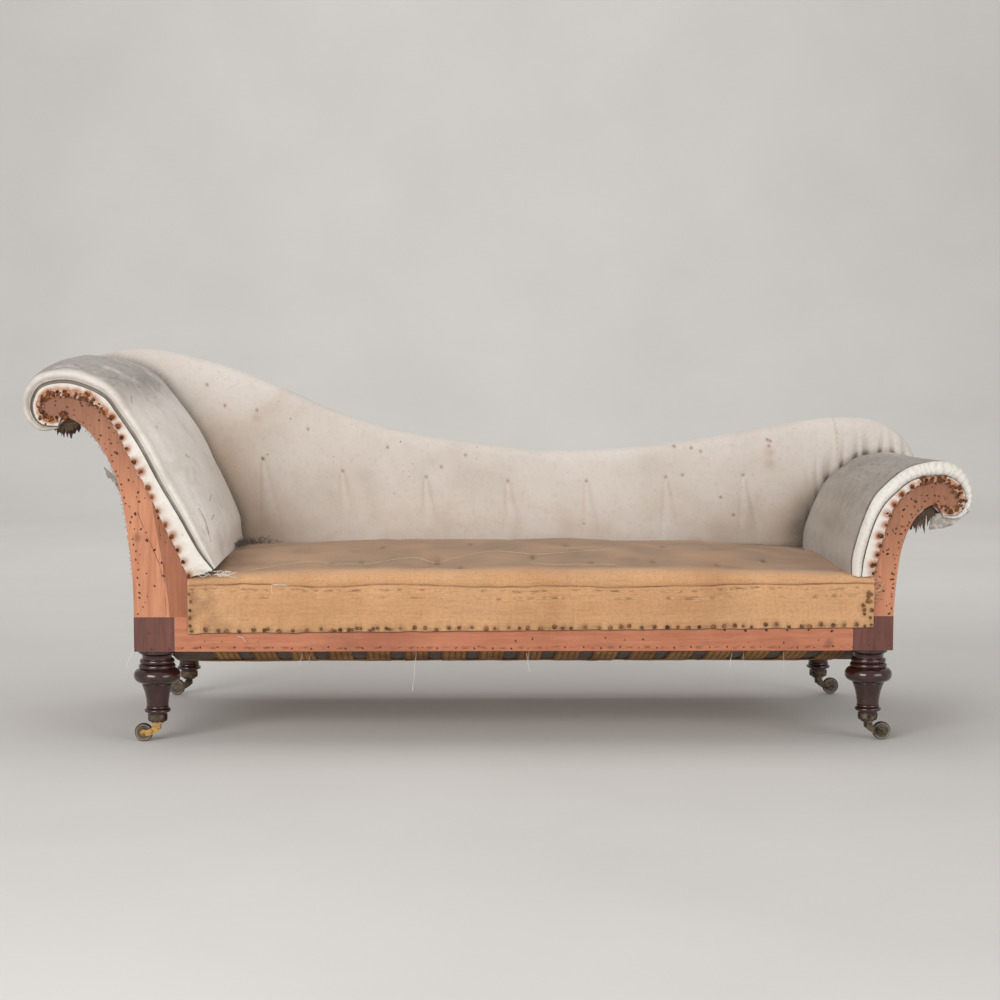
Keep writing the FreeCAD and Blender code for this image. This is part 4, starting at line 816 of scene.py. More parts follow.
def border_piece(end_name, end, overlap, wide, close, turn, seed):
    """A bias strip of calico from the pad's seam to its tacks; returns the places of tacks and of rust."""
    count, rows = 520, 14
    sewn, edge, side = end_lines(end, count)
    sewn = sewn[:, :2]
    way = side_normals(edge, side)
    run = run_along(edge)
    tacked_at = tack_run(run[-1], wide, close, turn)
    slack = 1 - bell(np.min(np.abs(run[:, None] - tacked_at), axis=1), 5.5)
    rough = np.array([noise.noise(Vector((r / 6, seed, 0))) for r in run])
    tacked = edge - way * (overlap + 2.5 - 4.2 * slack + 1.8 * rough)[:, None]
    lines = []
    for share in np.linspace(0, 1, rows):
        flat = tacked + (sewn - tacked) * share
        lift = 1.6 + 1.6 * math.sin(math.pi * min(share * 1.1, 1)) + (1 - share) ** 4 * 2.2 * slack
        lines.append((flat[:, 0], front_y - lift, flat[:, 1]))
    grid = stacked(lines, count)
    grid[..., 1] += lumps(grid, 18, seed) * 0.9

    def spot(place, inward, depth, spread):
        k = int(np.argmin(np.abs(run - place)))
        at = edge[k] - way[k] * inward
        return at[0] + uniform(-spread, spread), front_y - depth, at[1] + uniform(-spread, spread)

    spots = [spot(place, overlap - 3.5 - 5 * extra, 3.2, 2)
             for place in tacked_at for extra in range(choice((1, 1, 2)))]
    share = fade_rows(0, 1, rows, count)
    tip = np.tile(step_up(run / run[-1], turn, turn + 0.12), (rows, 1))
    rust = near(grid, spots, 7.5) * 1.3 + near(grid, spots, 15) * 0.4
    rust += tip * step_up(share, 0.95, 0.4) * (0.5 + 0.5 * step_up(lumps(grid, 7, seed + 20), -0.3, 0.2))
    dirt = fade_rows(0.3, 0.0, rows, count) * step_up(lumps(grid, 30, 2), -0.2, 0.5)
    piece = grid_piece(end_name + "_border_strip", grid, "calico_border", {"rust": rust, "dirt": dirt})
    crust = [spot(place, uniform(-3, overlap + 1), 2.6, 5)
             for place in tacked_at[tacked_at > turn * run[-1]] for extra in range(4)]
    done(thickened(piece, 1.0), "calico", end_name + "_border")
    return spots, crust


head_spots, head_crust = border_piece("head", head_end, 9.0, 31.0, 12.0, 0.55, 3)
foot_spots, foot_crust = border_piece("foot", foot_end, 7.0, 23.0, 12.0, 0.5, 4)


# The back
def pad_outline(surface, depth, last=60):
    """A pad's outline in the front view at a depth behind the front face."""
    row = int(np.argmin(np.abs(surface[-last:, 0, 1] - front_y - depth))) - last
    return surface[row, ::4][:, [0, 2]]


def top_of_back(count):
    return smooth([(head_leg_x + share * leg_spacing + dx, rail_top + z) for share, dx, z in back_line],
                  count)


tufts = [(head_leg_x + share * leg_spacing, rail_top + height, deep) for share, height, deep in back_tufts]
tuft_places = [tuft[:2] for tuft in tufts]


def pleats(front):
    """Short upright gathers over the foot pad."""
    return np.sin(front[..., 0] / 4.6 + 3.5 * lumps(front * [1, 1, 0.15], 30, 39))


def from_seam(xs, zs):
    """Distance from the back's upright seam, which wavers."""
    return xs - 789 - 3 * np.sin(zs / 40)


def pull_width(dz):
    """Half the width of the fold under a tuft, which widens as it falls."""
    return 2.5 + 0.08 * np.clip(-dz, 0, 140)


def back_shape(front, face, from_foot):
    """How far the front of the back stands out at each point, with tufts, pleats, gathers and its seam."""
    xs, zs = front[..., 0], front[..., 2]
    push = lumps(front, 170, 8) * 4.0 + lumps(front * [1, 1, 0.35], 48, 9) * 1.5 + lumps(front, 15, 10) * 0.3
    for x, z, deep in tufts:
        dx, dz = xs - x, zs - z
        away = np.hypot(dx, dz)
        push -= deep * bell(away, 7.0) + deep * 0.7 * bell(away, 40.0)
        if deep > 1:
            # A fold falls from it, with a groove on each side
            wide, off = pull_width(dz), dx + 0.1 * dz
            falls = step_up(-dz, 0, 22) * step_up(-dz, 190, 90)
            push += 2.3 * bell(off, wide) * falls - 1.7 * bell(np.abs(off) - 1.7 * wide, 3.2) * falls
    # Short wrinkles that run down from the top where it dips
    top_line = top_of_back(200)
    below = np.interp(xs, top_line[:, 0], top_line[:, 1]) - zs
    ruck = np.sin(xs / 4.2 + 5 * lumps(front * [1, 1, 0.2], 45, 49))
    ruck *= step_up(lumps(front, 60, 50), -0.3, 0.4)
    push += 0.9 * ruck * bell(below - 8, 26) * step_up(xs, -160, -60) * step_up(xs, 330, 240)
    gathers = 1.7 * bell(from_foot, 30) + 0.7 * bell(from_foot, 75) * step_up(xs, 690, 760)
    push += pleats(front) * gathers * step_up(zs, 470, 520)
    puckers = 0.5 * np.sin(zs / 3.4) * bell(xs - 789, 9) - 1.3 * bell(from_seam(xs, zs), 1.5)
    push += puckers * step_up(zs, 540, 575)
    push += step_up(xs, 600, 800) * 1.5 * lumps(front * [1, 1, 0.3], 22, 12)
    return push * face


def back_marks(front, from_head, from_foot):
    xs, zs = front[..., 0], front[..., 2]
    flat = front[..., [0, 2]]
    over = zs - 350
    blot = lumps(front, 120, 14) * 0.6 + lumps(front, 40, 15) * 0.4
    tips = step_up(pleats(front), 0.2, -0.8)
    rusty = [(-659, 726), (-618, 678), (-545, 668), (364, 613), (417, 583), (456, 580), (631, 599),
             (638, 596), (634, 585), (522, 467), (-532, 556)]
    dirt = 0.18 * step_up(over, 230, 10) * step_up(blot, -0.4, 0.5)
    # Painted shadow on the back beside the head pad and the foot pad, stronger lower down
    dirt += (0.55 * bell(from_head, 75) * step_up(zs, 720, 560)
             + 0.6 * bell(from_foot, 60) * step_up(zs, 560, 430))
    dirt += 0.22 * bell(np.hypot(xs + 520, zs - 690), 60) * step_up(blot, -0.2, 0.3)
    dirt += 0.12 * step_up(over, 150, 60) * step_up(blot, -0.6, 0.4)
    dirt += 0.55 * bell(from_seam(xs, zs), 1.6) * step_up(zs, 530, 570) + 0.5 * near(flat, tuft_places, 3.4)
    for x, z in tuft_places[:7]:
        # The fold under each tuft gets painted shade along its two grooves, and a painted highlight on the
        # ridge between them
        wide, off = pull_width(zs - z), np.abs(xs - x + 0.1 * (zs - z) + 3 * blot)
        edges = 0.3 * bell(off - 1.5 * wide, 4.0) * step_up(blot, -0.9, 0.3)
        dirt += (edges - 0.34 * bell(off, wide)) * step_up(z - zs, -2, 8) * step_up(z - zs, 125, 20)
    # Dust along the bottom and in blotches; the grey beside both pads is painted shadow, strongest in the
    # hollows of the pleats by the foot pad
    dust = 0.4 * step_up(over, 18, -4) + 0.1 * step_up(blot, 0.0, 0.5) + 0.5 * bell(from_head, 16)
    dust += (0.75 * bell(from_foot, 11) * (0.4 + 0.6 * tips)
             + 0.95 * bell(from_foot, 46) * step_up(zs, 540, 430))
    rust = near(flat, rusty, 3.2) + 0.35 * near(flat, [(634, 570), (634, 545), (-545, 650)], 11)
    # Painted shade along the edges of both pads, the broad shadow beside the foot pad, where the back meets
    # the seat and in the hollows of the pleats; the tuft points and rust spots are darkened too
    soot = 0.75 * bell(from_foot, 8) * (0.35 + 0.65 * tips) + 0.4 * bell(from_head, 10)
    soot += (0.62 * bell(from_foot, 32) * step_up(zs, 500, 390)
             + 0.22 * bell(from_head, 36) * step_up(zs, 560, 400))
    soot += 0.5 * step_up(over, 16, -4) * step_up(lumps(front, 14, 48), -0.4, 0.3)
    soot += 0.3 * tips * bell(from_foot, 40) * step_up(zs, 470, 520)
    soot += 0.75 * near(flat, tuft_places, 3.0) + 0.45 * near(flat, rusty, 2.6)
    return {"dirt": np.maximum(dirt, 0.0), "dust": dust, "rust": rust, "soot": soot}


def back_piece():
    """The calico back: from the rear of its top rail, over the top, and down the front to the seat."""
    count = 560
    top = top_of_back(count)
    foot_line = on_board(head_leg_x, head_outer_side)
    foot_line += [(x, rail_top + 30) for x in (head_leg_x - 41.5, head_leg_x + 60, 0.0, foot_leg_x - 60,
                                               foot_leg_x + 41.5)]
    foot_line += on_board(foot_leg_x, reversed(foot_outer_side))
    dense = even(np.array(foot_line, float), 4000)
    # Each column of the back meets the lower line at a matching place
    spread = np.interp(np.linspace(0, 1, count), (0, 0.13, 0.25, 0.80, 0.885, 1),
                       (0, 0.12, 0.24, 0.775, 0.875, 1))
    foot = np.column_stack([np.interp(spread, np.linspace(0, 1, 4000), values) for values in dense.T])
    fall = foot - top
    length = np.linalg.norm(fall, axis=1)
    fall /= length[:, None]
    start = np.minimum(100.0, 0.42 * length)
    over_top = smooth([(15, 0.5), (6, 10), (1, 24), (0, 40), (3, 56), (12, 70), (28, 79), (60, 87),
                       (100, 92)], 46)
    rows = [(np.minimum(max(drawn, 0.0), start), depth) for drawn, depth in over_top]
    for share in np.linspace(0, 1, 110)[1:]:
        bulge = 92 + 5 * math.sin(math.pi * min(share * 1.25, 1.0))
        rows.append((start + (length - start) * share, bulge * (1.0 - 0.22 * share ** 6)))
    visible = len(rows)
    rows += [(length, depth) for depth in (50.0, 30.0, 10.0)]
    rows += [(15 + (length - 15) * share, 34.2) for share in np.linspace(1, 0.05, 24)]
    grid = stacked([(top[:, 0] + fall[:, 0] * drop, rear_y - depth, top[:, 1] + fall[:, 1] * drop)
                    for drop, depth in rows], count)
    front = grid[:visible].copy()
    face = step_up(rear_y - front[..., 1], 60, 88)
    from_head, from_foot = [nearest(front[..., [0, 2]], pad_outline(surface, 545))
                            for surface in (head_surface, foot_surface)]
    grid[:visible, :, 1] -= back_shape(front, face, from_foot)
    marks = with_tail(back_marks(front, from_head, from_foot), len(rows) - visible)
    return grid_piece("back_pad", grid, "calico_back", marks, closed=True)


back_pad = done(back_piece(), "calico", "back_stuffing", "back_cover")


# The seat
def wavy(xs, low, high, seed):
    """A wandering line: broad waves of one height and short ones of another."""
    return np.array([noise.noise(Vector((x / 150, seed, 0))) * low
                     + noise.noise(Vector((x / 34, seed, 5))) * high for x in xs])


seat_rear_y = inner_rear_y - 5
seat_depth = seat_rear_y - front_y
seat_xs = np.linspace(head_joint_x - 8, foot_joint_x + 8, 600)
seat_share = (seat_xs - head_joint_x) / (foot_joint_x - head_joint_x)
seat_fall = 14 * np.abs(2 * np.clip(seat_share, 0, 1) - 1) ** 3
seam_heights = rail_top + seat_seam + wavy(seat_xs, 7.0, 1.6, 3.3) + 2 * np.cos(2 * np.pi * seat_share)
roll_heights = rail_top + seat_seam + 33 - seat_fall
crown_heights = roll_heights + 26 - 0.4 * seat_fall - 15 * np.clip(seat_share, 0, 1) ** 5
lap_heights = rail_top - 34 + 10 * np.clip(seat_share, 0, 1) + wavy(seat_xs, 0.6, 2.2, 9.1)


def seam_at(x):
    return float(np.interp(x, seat_xs, seam_heights))


def lap_at(x):
    return float(np.interp(x, seat_xs, lap_heights))


# Stitched rows of the front border: (below the seam, how deep they pull in)
stitch_rows = [(9, 1.4), (24, 2.0)]
# Small tufts on the seat top: (along X, behind the front face)
seat_tufts = [(-353, 100), (-290, 112), (-132, 120), (-85, 60), (70, 150), (190, 105), (322, 120), (455, 95),
              (560, 150), (-250, 260), (-60, 285), (150, 300), (360, 280)]
border_rows = 70


def seat_piece():
    """The hessian seat: front border from its tacked edge to the seam, then roll, crown and rear."""
    rows = [(seat_xs, front_y + y, lap_heights + (seam_heights - lap_heights) * up)
            for up, y in smooth([(0, -2.6), (0.1, -3.0), (0.34, -3.6), (0.5, -6.0), (0.72, -8.6), (0.9, -8.0),
                                 (0.975, -6.2), (1.0, -4.4)], border_rows)]
    rows += [(seat_xs, front_y + y, seam_heights + (roll_heights - seam_heights) * up)
             for y, up in smooth([(-4.4, 0.0), (-6.6, 0.07), (-8.6, 0.22), (-8.0, 0.4), (-3.5, 0.66),
                                  (6, 0.86), (20, 0.97), (36, 1.0)], 40)[1:]]
    rows += [(seat_xs, front_y + seat_depth * at, roll_heights + (crown_heights - roll_heights) * up)
             for at, up in smooth([(36 / seat_depth, 0.0), (0.10, 0.06), (0.2, 0.3), (0.32, 0.82), (0.5, 1.0),
                                   (0.7, 0.82), (0.84, 0.42), (1.0, 0.0)], 100)[1:]]
    grid = stacked(rows, len(seat_xs))
    border_part = np.arange(len(rows))[:, None] < border_rows
    up = surface_normals(grid)
    up *= np.sign(up[..., 2:3] - up[..., 1:2])
    xs, ys, zs = np.moveaxis(grid, 2, 0)
    on_top = step_up(ys, front_y - 2, front_y + 70)
    move = (lumps(grid, 140, 21) * (4.5 * on_top + 0.8 * (1 - on_top))
            + lumps(grid, 36, 22) * (1.0 * on_top + 0.5))
    move *= 1 - 0.85 * step_up(zs, rail_top + 14, rail_top - 2) * border_part
    for x, y in seat_tufts:
        away = np.hypot(xs - x, (ys - front_y - y) * 0.8)
        move -= on_top * (4.0 * bell(away, 9) + 3.0 * bell(away, 46))
    # Two stitched rows under the seam pull the hessian in
    rows_dirt = 0
    for below, deep in stitch_rows:
        row = bell(zs - (seam_heights - below - 2 * np.sin(xs / 47)), 2.6) * border_part
        move -= row * deep * (0.7 + 0.5 * np.sin(xs / 4.1))
        rows_dirt = rows_dirt + row * step_up(lumps(grid * [1, 1, 2.5], 13, 40 + below), 0.0, 0.35)
    grid = grid + up * move[..., None]
    xs, ys, zs = np.moveaxis(grid, 2, 0)
    dust = on_top * (0.85 + 0.3 * lumps(grid, 80, 25)) + step_up(lumps(grid, 140, 26), 0.1, 0.6) * 0.12
    groove = bell(zs - seam_heights, 1.3) * (ys < front_y + 2)
    row_low = bell(zs - lap_heights - 5, 5) * border_part
    tacked = near(grid[..., [0, 2]], [(x, z) for x, y, z in seat_spots], 6.5) * border_part
    slits = near(grid[..., :2] * [1, 0.35], [(x, (front_y + y) * 0.35) for x, y in seat_tufts], 5.5)
    smears = near(grid[..., :2], [(-585, -150), (-560, 0), (-570, 120)], 45)
    # The seam groove on the front is darkened as painted shade
    dirt = groove * step_up(seat_xs, -600, -560) * (0.75 + 0.4 * lumps(grid, 30, 41))
    dirt += 0.5 * row_low * step_up(lumps(grid, 16, 27), -0.2, 0.3) + 0.8 * rows_dirt + 0.55 * tacked
    dirt += 0.5 * step_up(xs, -480, -640) * step_up(lumps(grid, 26, 28), -0.7, 0.5)
    dirt += 0.3 * step_up(lumps(grid, 60, 29), 0.3, 0.7) * on_top + 0.22 * step_up(ys, 100, 220)
    dirt += (1.1 * slits + 0.4 * smears) * (on_top > 0.5)
    under = stacked([(seat_xs, y, z) for y, z in ((seat_rear_y, 310), (235, 306), (-234, 306),
                                                  (inner_front_y + 6, 268), (front_y + 10, 266),
                                                  (front_y + 0.5, rail_top + 3))], len(seat_xs))
    marks = with_tail({"dust": dust, "dirt": dirt}, len(under))
    whole = grid_piece("seat_pad", np.vstack([grid, under]), "hessian", marks, closed=True)
    done(whole, "hessian", "seat_stuffing", "seat_cover", "seat_border")
    return grid


def seat_tack_places():
    places = []
    x = head_joint_x - 1
    while x < foot_joint_x + 1:
        for extra in range(choice((1, 2)) if -535 < x < -210 else 1):
            places.append((x + 7 * extra, front_y - 3.4, lap_at(x) + 6 + uniform(-2.5, 3.5)))
        x += choice((17, 22, 26, 29))
    for edge in (head_joint_x - 2, foot_joint_x + 2):
        z = rail_top - 18
        while z < rail_top + seat_seam - 6:
            places.append((edge + uniform(-3, 3), front_y - 4.0, z))
            z += uniform(14, 22)
    return places + [(foot_joint_x - 4 - 5 * i * random.random(), front_y - 4, rail_top + 50 - 9 * i)
                     for i in range(6)]


seat_spots = seat_tack_places()
seat_grid = seat_piece()


def seat_top(x, y):
    """Height of the seat's surface at a place behind its front."""
    column = seat_grid[100:, int(np.argmin(np.abs(seat_xs - x)))]
    return float(np.interp(y, column[:, 1], column[:, 2]))


def seat_face(x, z):
    """How far forward the front border stands at a place."""
    column = seat_grid[:border_rows, int(np.argmin(np.abs(seat_xs - x)))]
    return float(np.interp(z, column[:, 2], column[:, 1]))


# Tacks, and the rust around them
seat_spots = [(x, seat_face(x, z) - 0.4, z) for x, y, z in seat_spots]
for name, spots, material, numbers, nodes in (
        ("seat_tack_heads", seat_spots, "dark_tacks", (1.2, 0.3, 0.3, 5), ["seat_tacks"]),
        ("head_tack_heads", head_spots, "rusty_tacks", (1.3, 0.35, 0.5, 6), ["head_tacks"]),
        ("foot_tack_heads", foot_spots, "rusty_tacks", (1.25, 0.35, 0.5, 8), ["foot_tacks"]),
        ("rust_crust", head_crust + foot_crust, "rust_crust", (0.85, 0.45, 0.9, 9), [])):
    scatter(name, spots, tack_shape, material, numbers, "rusty_tacks", *nodes)


# Old tack holes in the bare wood, as places in the front view
def between(line_a, line_b, along, across):
    """A place at a share of the way along two lines, and of the way across from one to the other."""
    a, b = [[np.interp(along * 59, range(60), values) for values in smooth(line, 60).T]
            for line in (line_a, line_b)]
    return [first * (1 - across) + second * across for first, second in zip(a, b)]


def board_holes(leg_x, outer, inner, edge_count, face_count=30):
    """Holes close along the outer edge of a scroll board, and scattered over its face."""
    lines = on_board(leg_x, outer), on_board(leg_x, inner)
    places = [between(*lines, (i + random.random() * 0.6) / edge_count, choice((0.1, 0.13, 0.2)))
              for i in range(edge_count)]
    places += [between(*lines, random.random() ** 0.8, uniform(0.2, 0.85)) for i in range(face_count)]
    return [(x, z) for x, z in places if z > 268]


small_holes = board_holes(head_leg_x, [(-43, 4), *head_outer_side[:0:-1], (-190, 424)],
                          [(60, 4), (60, 84), *head_inner_side[1:9], (-208, 440)], 34)
small_holes += board_holes(foot_leg_x, [(44, 4), *foot_outer_side[:0:-1], (118, 240), (150, 236)],
                           [(-8, 4), *foot_inner_side[:9], (168, 252)], 30)
big_holes = [(-747, 476), (-736, 445), (-724, 422), (-709, 402), (-695, 376), (-691, 349), (-818, 667),
             (-783, 600), (-760, 545), (-741, 520), (-700, 468), (-667, 430), (-657, 401), (-646, 372),
             (822, 483), (807, 444), (846, 500), (869, 512), (790, 392), (800, 352), (783, 316),
             (457, 236), (500, 235), (543, 236), (586, 235), (630, 236), (678, 233)]
x = head_joint_x - 20
while x < foot_joint_x - 10:
    small_holes.append((x, rail_bottom + uniform(5, 9)))
    if random.random() < 0.3:
        small_holes.append((x + 9, rail_bottom + uniform(7, 28)))
    x += uniform(34, 40)
small_holes += [(uniform(left, right), choice((198, 203, 231, 255)))
                for left, right in ((-750, -674), (725, 801)) for i in range(9)]
for name, places, material, size, seed in (("tack_holes_small", small_holes, "tack_hole", 1.1, 11),
                                           ("tack_holes_large", big_holes, "deep_hole", 1.7, 12)):
    scatter(name, [(x, front_y - 0.2, z) for x, z in places], hole_shape, material, (size, 0.4, 0.05, seed),
            "scroll_board_wood")


# Stitches, twine and loose threads
def wander(points, count, jitter, seed):
    """A smooth line through points that wanders a little."""
    line = smooth(points, count)
    for i, point in enumerate(line):
        shift = noise.noise_vector(Vector((i * 0.23, seed * 3.7, 0)))
        line[i] = point + np.array(shift) * jitter * math.sin(math.pi * i / (count - 1))
    return line


def stitch_lines():
    lines = []
    for (below, deep), length, gap in zip(stitch_rows, (8, 12), (11, 13)):
        x = head_joint_x + 22
        while x < foot_joint_x - 15:
            end = x + length * uniform(0.5, 1.3)
            z = seam_at(x) - below - 2 * math.sin(x / 47) + uniform(-1.5, 1.5)
            y = seat_face(x, z)
            if random.random() < 0.8:
                lines.append([(x, y + 1.2, z), (x + 1.5, y - 0.5, z + 0.3), ((x + end) / 2, y - 1.1, z + 0.6),
                              (end - 1.5, y - 0.5, z), (end, y + 1.2, z)])
            x = end + gap * uniform(0.7, 1.4)
    return lines


def twine_lines():
    """Pale twine that runs in loose loops over the seat top from tuft to tuft."""
    for count, route in ((90, [(-520, 55), (-455, 96), (-400, 118), (-345, 105), (-290, 98), (-240, 118),
                               (-180, 140), (-132, 125), (-60, 160), (10, 176), (80, 168), (190, 190),
                               (250, 205)]),
                         (30, [(60, 86), (110, 66), (170, 84), (240, 80)])):
        yield [(x, front_y + y, seat_top(x, front_y + y) + 0.7) for x, y in smooth(route, count)]


def loose_lines():
    """Frayed ends: at the foot of the head pad, along the lap, and hanging under the rails."""
    lines = []
    for i in range(26):
        x, z = uniform(-634, -560), 357 + uniform(-5, 5)
        step = uniform(8, 26)
        lines.append(wander([(x, front_y - 9, z), (x + step * 0.5, front_y - 12, z + uniform(-5, 6)),
                             (x + step, front_y - 10, z - uniform(0, 7))], 10, 5, i))
    for seed, count, jitter, route in (
            (40, 12, 2, [(-470, -9, 331), (-452, -11, 333), (-433, -9, 333)]),
            (41, 12, 2, [(-470, -9, 331), (-471, -10, 322), (-469, -9, 313)]),
            (42, 12, 2, [(-467, -10, 331), (-450, -12, 331), (-438, -10, 330)]),
            (43, 10, 3, [(-540, -4, 226), (-530, -6, 221), (-524, -4, 214)]),
            (44, 12, 4, [(-752, -2, 200), (-758, -8, 188), (-764, -8, 176), (-768, -7, 160)])):
        lines.append(wander([(x, front_y + y, z) for x, y, z in route], count, jitter, seed))
    for x, drop in ((-394, 26), (-412, 18), (-176, 74), (52, 32), (60, 22), (478, 24), (505, 30), (590, 34)):
        side, y = uniform(-10, 10), inner_front_y + uniform(2, 40)
        lines.append(wander([(x, y, 184), (x + side * 0.4, y - 2, 180 - drop * 0.5),
                             (x + side, y - 3, 178 - drop)], 12, 4, x))
    return lines


def hair_lines():
    """Horsehair that escapes between the head pad, the back and the seat."""
    for i in range(150):
        y = uniform(-60, 215)
        x = -578 + 0.13 * y + random.gauss(0, 9) + (uniform(0, 60) if y > 180 else 0)
        z = seat_top(x, y) + 1
        turn, lift = uniform(0, 6.28), uniform(3, 16)
        reach = uniform(8, 30)
        dx, dy = reach * math.cos(turn), reach * math.sin(turn)
        yield wander([(x, y, z), (x + 0.4 * dx, y + 0.4 * dy, z + lift), (x + dx, y + dy, z + lift * 0.5)],
                     9, 7, i)


def edge_fibres():
    """Dark remains of cloth along the outer edges of the scroll boards."""
    for leg_x, outer in ((head_leg_x, head_outer_side), (foot_leg_x, foot_outer_side)):
        edge = smooth(on_board(leg_x, outer), 120)
        for (x, z), way in list(zip(edge, side_normals(edge, -1)))[2:116]:
            if random.random() < 0.55:
                dx, dz = way * uniform(1.5, 5)
                y = front_y + uniform(1, 12)
                slide = uniform(-4, 4)
                yield [(x, y, z), (x + dx * 0.6, y - 1, z + dz * 0.6 - 1), (x + dx, y - 1, z + dz + slide)]


def pad_marks():
    """Fine dark cracks and hairs lying on the head pad, and the dark stitches behind the foot pad's rim."""
    for route in ([(0.2, 118), (0.206, 132), (0.213, 160)], [(0.15, 75), (0.156, 92), (0.16, 110)],
                  [(0.12, 42), (0.16, 45), (0.2, 47)], [(0.56, 26), (0.575, 34), (0.585, 44)],
                  [(0.09, 34), (0.11, 36), (0.14, 37)]):
        yield wander([on_pad(head_surface, *at) for at in route], 12, 0.8, route[0][1])
    for k in range(26):
        share = 0.03 + 0.5 * k / 26 + uniform(-0.006, 0.006)
        yield [on_pad(foot_surface, share, 11.0, 0.2), on_pad(foot_surface, share + 0.004, 15.0, 0.6)]


def board_cracks():
    """The glue line and shakes of the head's scroll board."""
    for route in ([(-699, 453), (-694, 400), (-690, 350), (-687, 300), (-687, 268)],
                  [(-742, 480), (-728, 440), (-712, 405), (-700, 372), (-694, 345)],
                  [(-770, 640), (-752, 600), (-742, 560)], [(-800, 668), (-778, 646), (-764, 620)]):
        yield wander([(x, front_y - 0.15, z) for x, z in route], 30, 2.5, route[0][1])


def frayed_corner():
    """Frayed hessian where the seat's front border meets the foot's scroll board."""
    for i in range(16):
        x, z = foot_joint_x + uniform(-4, 4), uniform(292, 348)
        reach = uniform(6, 26)
        yield wander([(x, front_y - 4, z), (x + reach * 0.5, front_y - 5, z + uniform(-4, 6)),
                      (x + reach, front_y - 3, z + uniform(-8, 12))], 9, 4, 60 + i)


for name, lines, thickness, material, slot in (
        ("seat_stitches", stitch_lines, 1.3, "pale_twine", "hessian"),
        ("seat_twine", twine_lines, 1.05, "pale_twine", "hessian"),
        ("loose_threads", loose_lines, 0.9, "white_wadding", "calico"),
        ("loose_horsehair", hair_lines, 0.7, "horsehair", "horsehair"),
        ("edge_fibres", edge_fibres, 0.8, "dark_fibre", "hessian"),
        ("pad_cracks", pad_marks, 0.7, "dark_fibre", "calico"),
        ("board_cracks", board_cracks, 0.7, "tack_hole", "scroll_board_wood"),
        ("frayed_corner", frayed_corner, 0.8, "pale_twine", "hessian")):
    threads(name, lines(), thickness, material, slot)


# Webbing under the seat, slack with age
inner_rail_y = rear_y - 32


def strap_height(y):
    share = min(abs(y) / inner_rear_y, 1.0)
    return rail_bottom - webbing_sag * (1 - share ** 2)


def cross_height(y):
    """The same for places between the rails' inner faces."""
    return strap_height(y * inner_rear_y / inner_rail_y)


def strap_grid(points, turn, seed):
    """A flat strap along a line; turn is the way across it."""
    line = smooth(points, 60)
    grid = np.array([line + np.array(turn) * webbing_width * share for share in np.linspace(-0.5, 0.5, 9)])
    grid[..., 2] += lumps(grid, 45, seed) * 2.0 * np.sin(np.linspace(0, math.pi, 60)) ** 0.5
    return grid


def strap_set(name, grids, node):
    """Several straps as one piece, with the threads' map across and along each strap."""
    mesh = bpy.data.meshes.new(name)
    joined = bmesh.new()
    for grid in grids:
        strap = grid_piece("strap", np.transpose(grid, (1, 0, 2)), "striped_webbing")
        joined.from_mesh(strap.data)
        old = strap.data
        bpy.data.objects.remove(strap)
        bpy.data.meshes.remove(old)
    joined.to_mesh(mesh)
    joined.free()
    piece = thickened(link(name, mesh, "striped_webbing"), 1.4, -1.0)
    piece.data.shade_smooth()
    done(piece, "webbing", node)


strap_count = int((foot_joint_x - head_joint_x - webbing_width) / 2 / webbing_pitch)
seat_middle_x = (head_joint_x + foot_joint_x) / 2
strap_xs = [seat_middle_x + i * webbing_pitch for i in range(-strap_count, strap_count + 1)]
under_rail = rail_bottom - 0.3
cross_grids = []
for i, x in enumerate(strap_xs):
    between_rails = [(x, y, cross_height(y) - 0.3) for y in np.linspace(-inner_rail_y, inner_rail_y, 11)]
    route = [(x, -317.5, under_rail), (x, -300, under_rail), *between_rails, (x, 300, under_rail),
             (x, 317.5, under_rail)]
    cross_grids.append(strap_grid(route, (1, 0, 0), 50 + i))
strap_set("seat_straps_across", cross_grids, "seat_webbing_cross")
long_grids = []
for i, y in enumerate((-150.0, 0.0, 150.0)):
    highest = strap_height(max(abs(y) - webbing_width / 2, 0))
    dip, low = highest - 2.0, rail_bottom - 1.8
    route = [(-749, low), (-725, low), (-690, dip + 16), (-640, dip), (-400, dip), (-100, dip), (100, dip),
             (400, dip), (690, dip), (742, dip + 16), (776, low), (800, low)]
    grid = strap_grid([(x, y, z) for x, z in route], (0, 1, 0), 80 + i)
    slack = step_up(grid[..., 0], -700, -650) * step_up(grid[..., 0], 752, 700)
    grid[..., 2] += slack * (np.array([strap_height(across) for across in grid[:, 30, 1]]) - highest)[:, None]
    long_grids.append(grid)
strap_set("seat_straps_along", long_grids, "seat_webbing_long")


def lining_piece():
    """Old dark lining that lies on the webbing, and bellies a little between the straps; its dark cloth, seen
    through the gaps between the straps, is painted shade.
    """
    rows, count, ease = 60, 160, 1.01
    xs = np.linspace(head_joint_x - 50, foot_joint_x + 28, count)
    ys = np.linspace(-inner_rail_y + 1.5, inner_rail_y - 1.5, rows)
    grid = stacked([(xs, y, cross_height(y) + 1.8) for y in ys], count)
    grid[..., 2] += lumps(grid, 60, 70) * 0.5
    off_strap = np.min(np.abs(xs[:, None] - np.array(strap_xs)), axis=1)
    grid[..., 2] -= 2.2 * step_up(off_strap, 27, 37)
    dirt = step_up(lumps(grid, 50, 71), -0.3, 0.4) * 0.5
    piece = grid_piece("seat_lining", grid, "old_hessian", {"dirt": dirt})
    done(thickened(piece, 0.8), "hessian")


lining_piece()


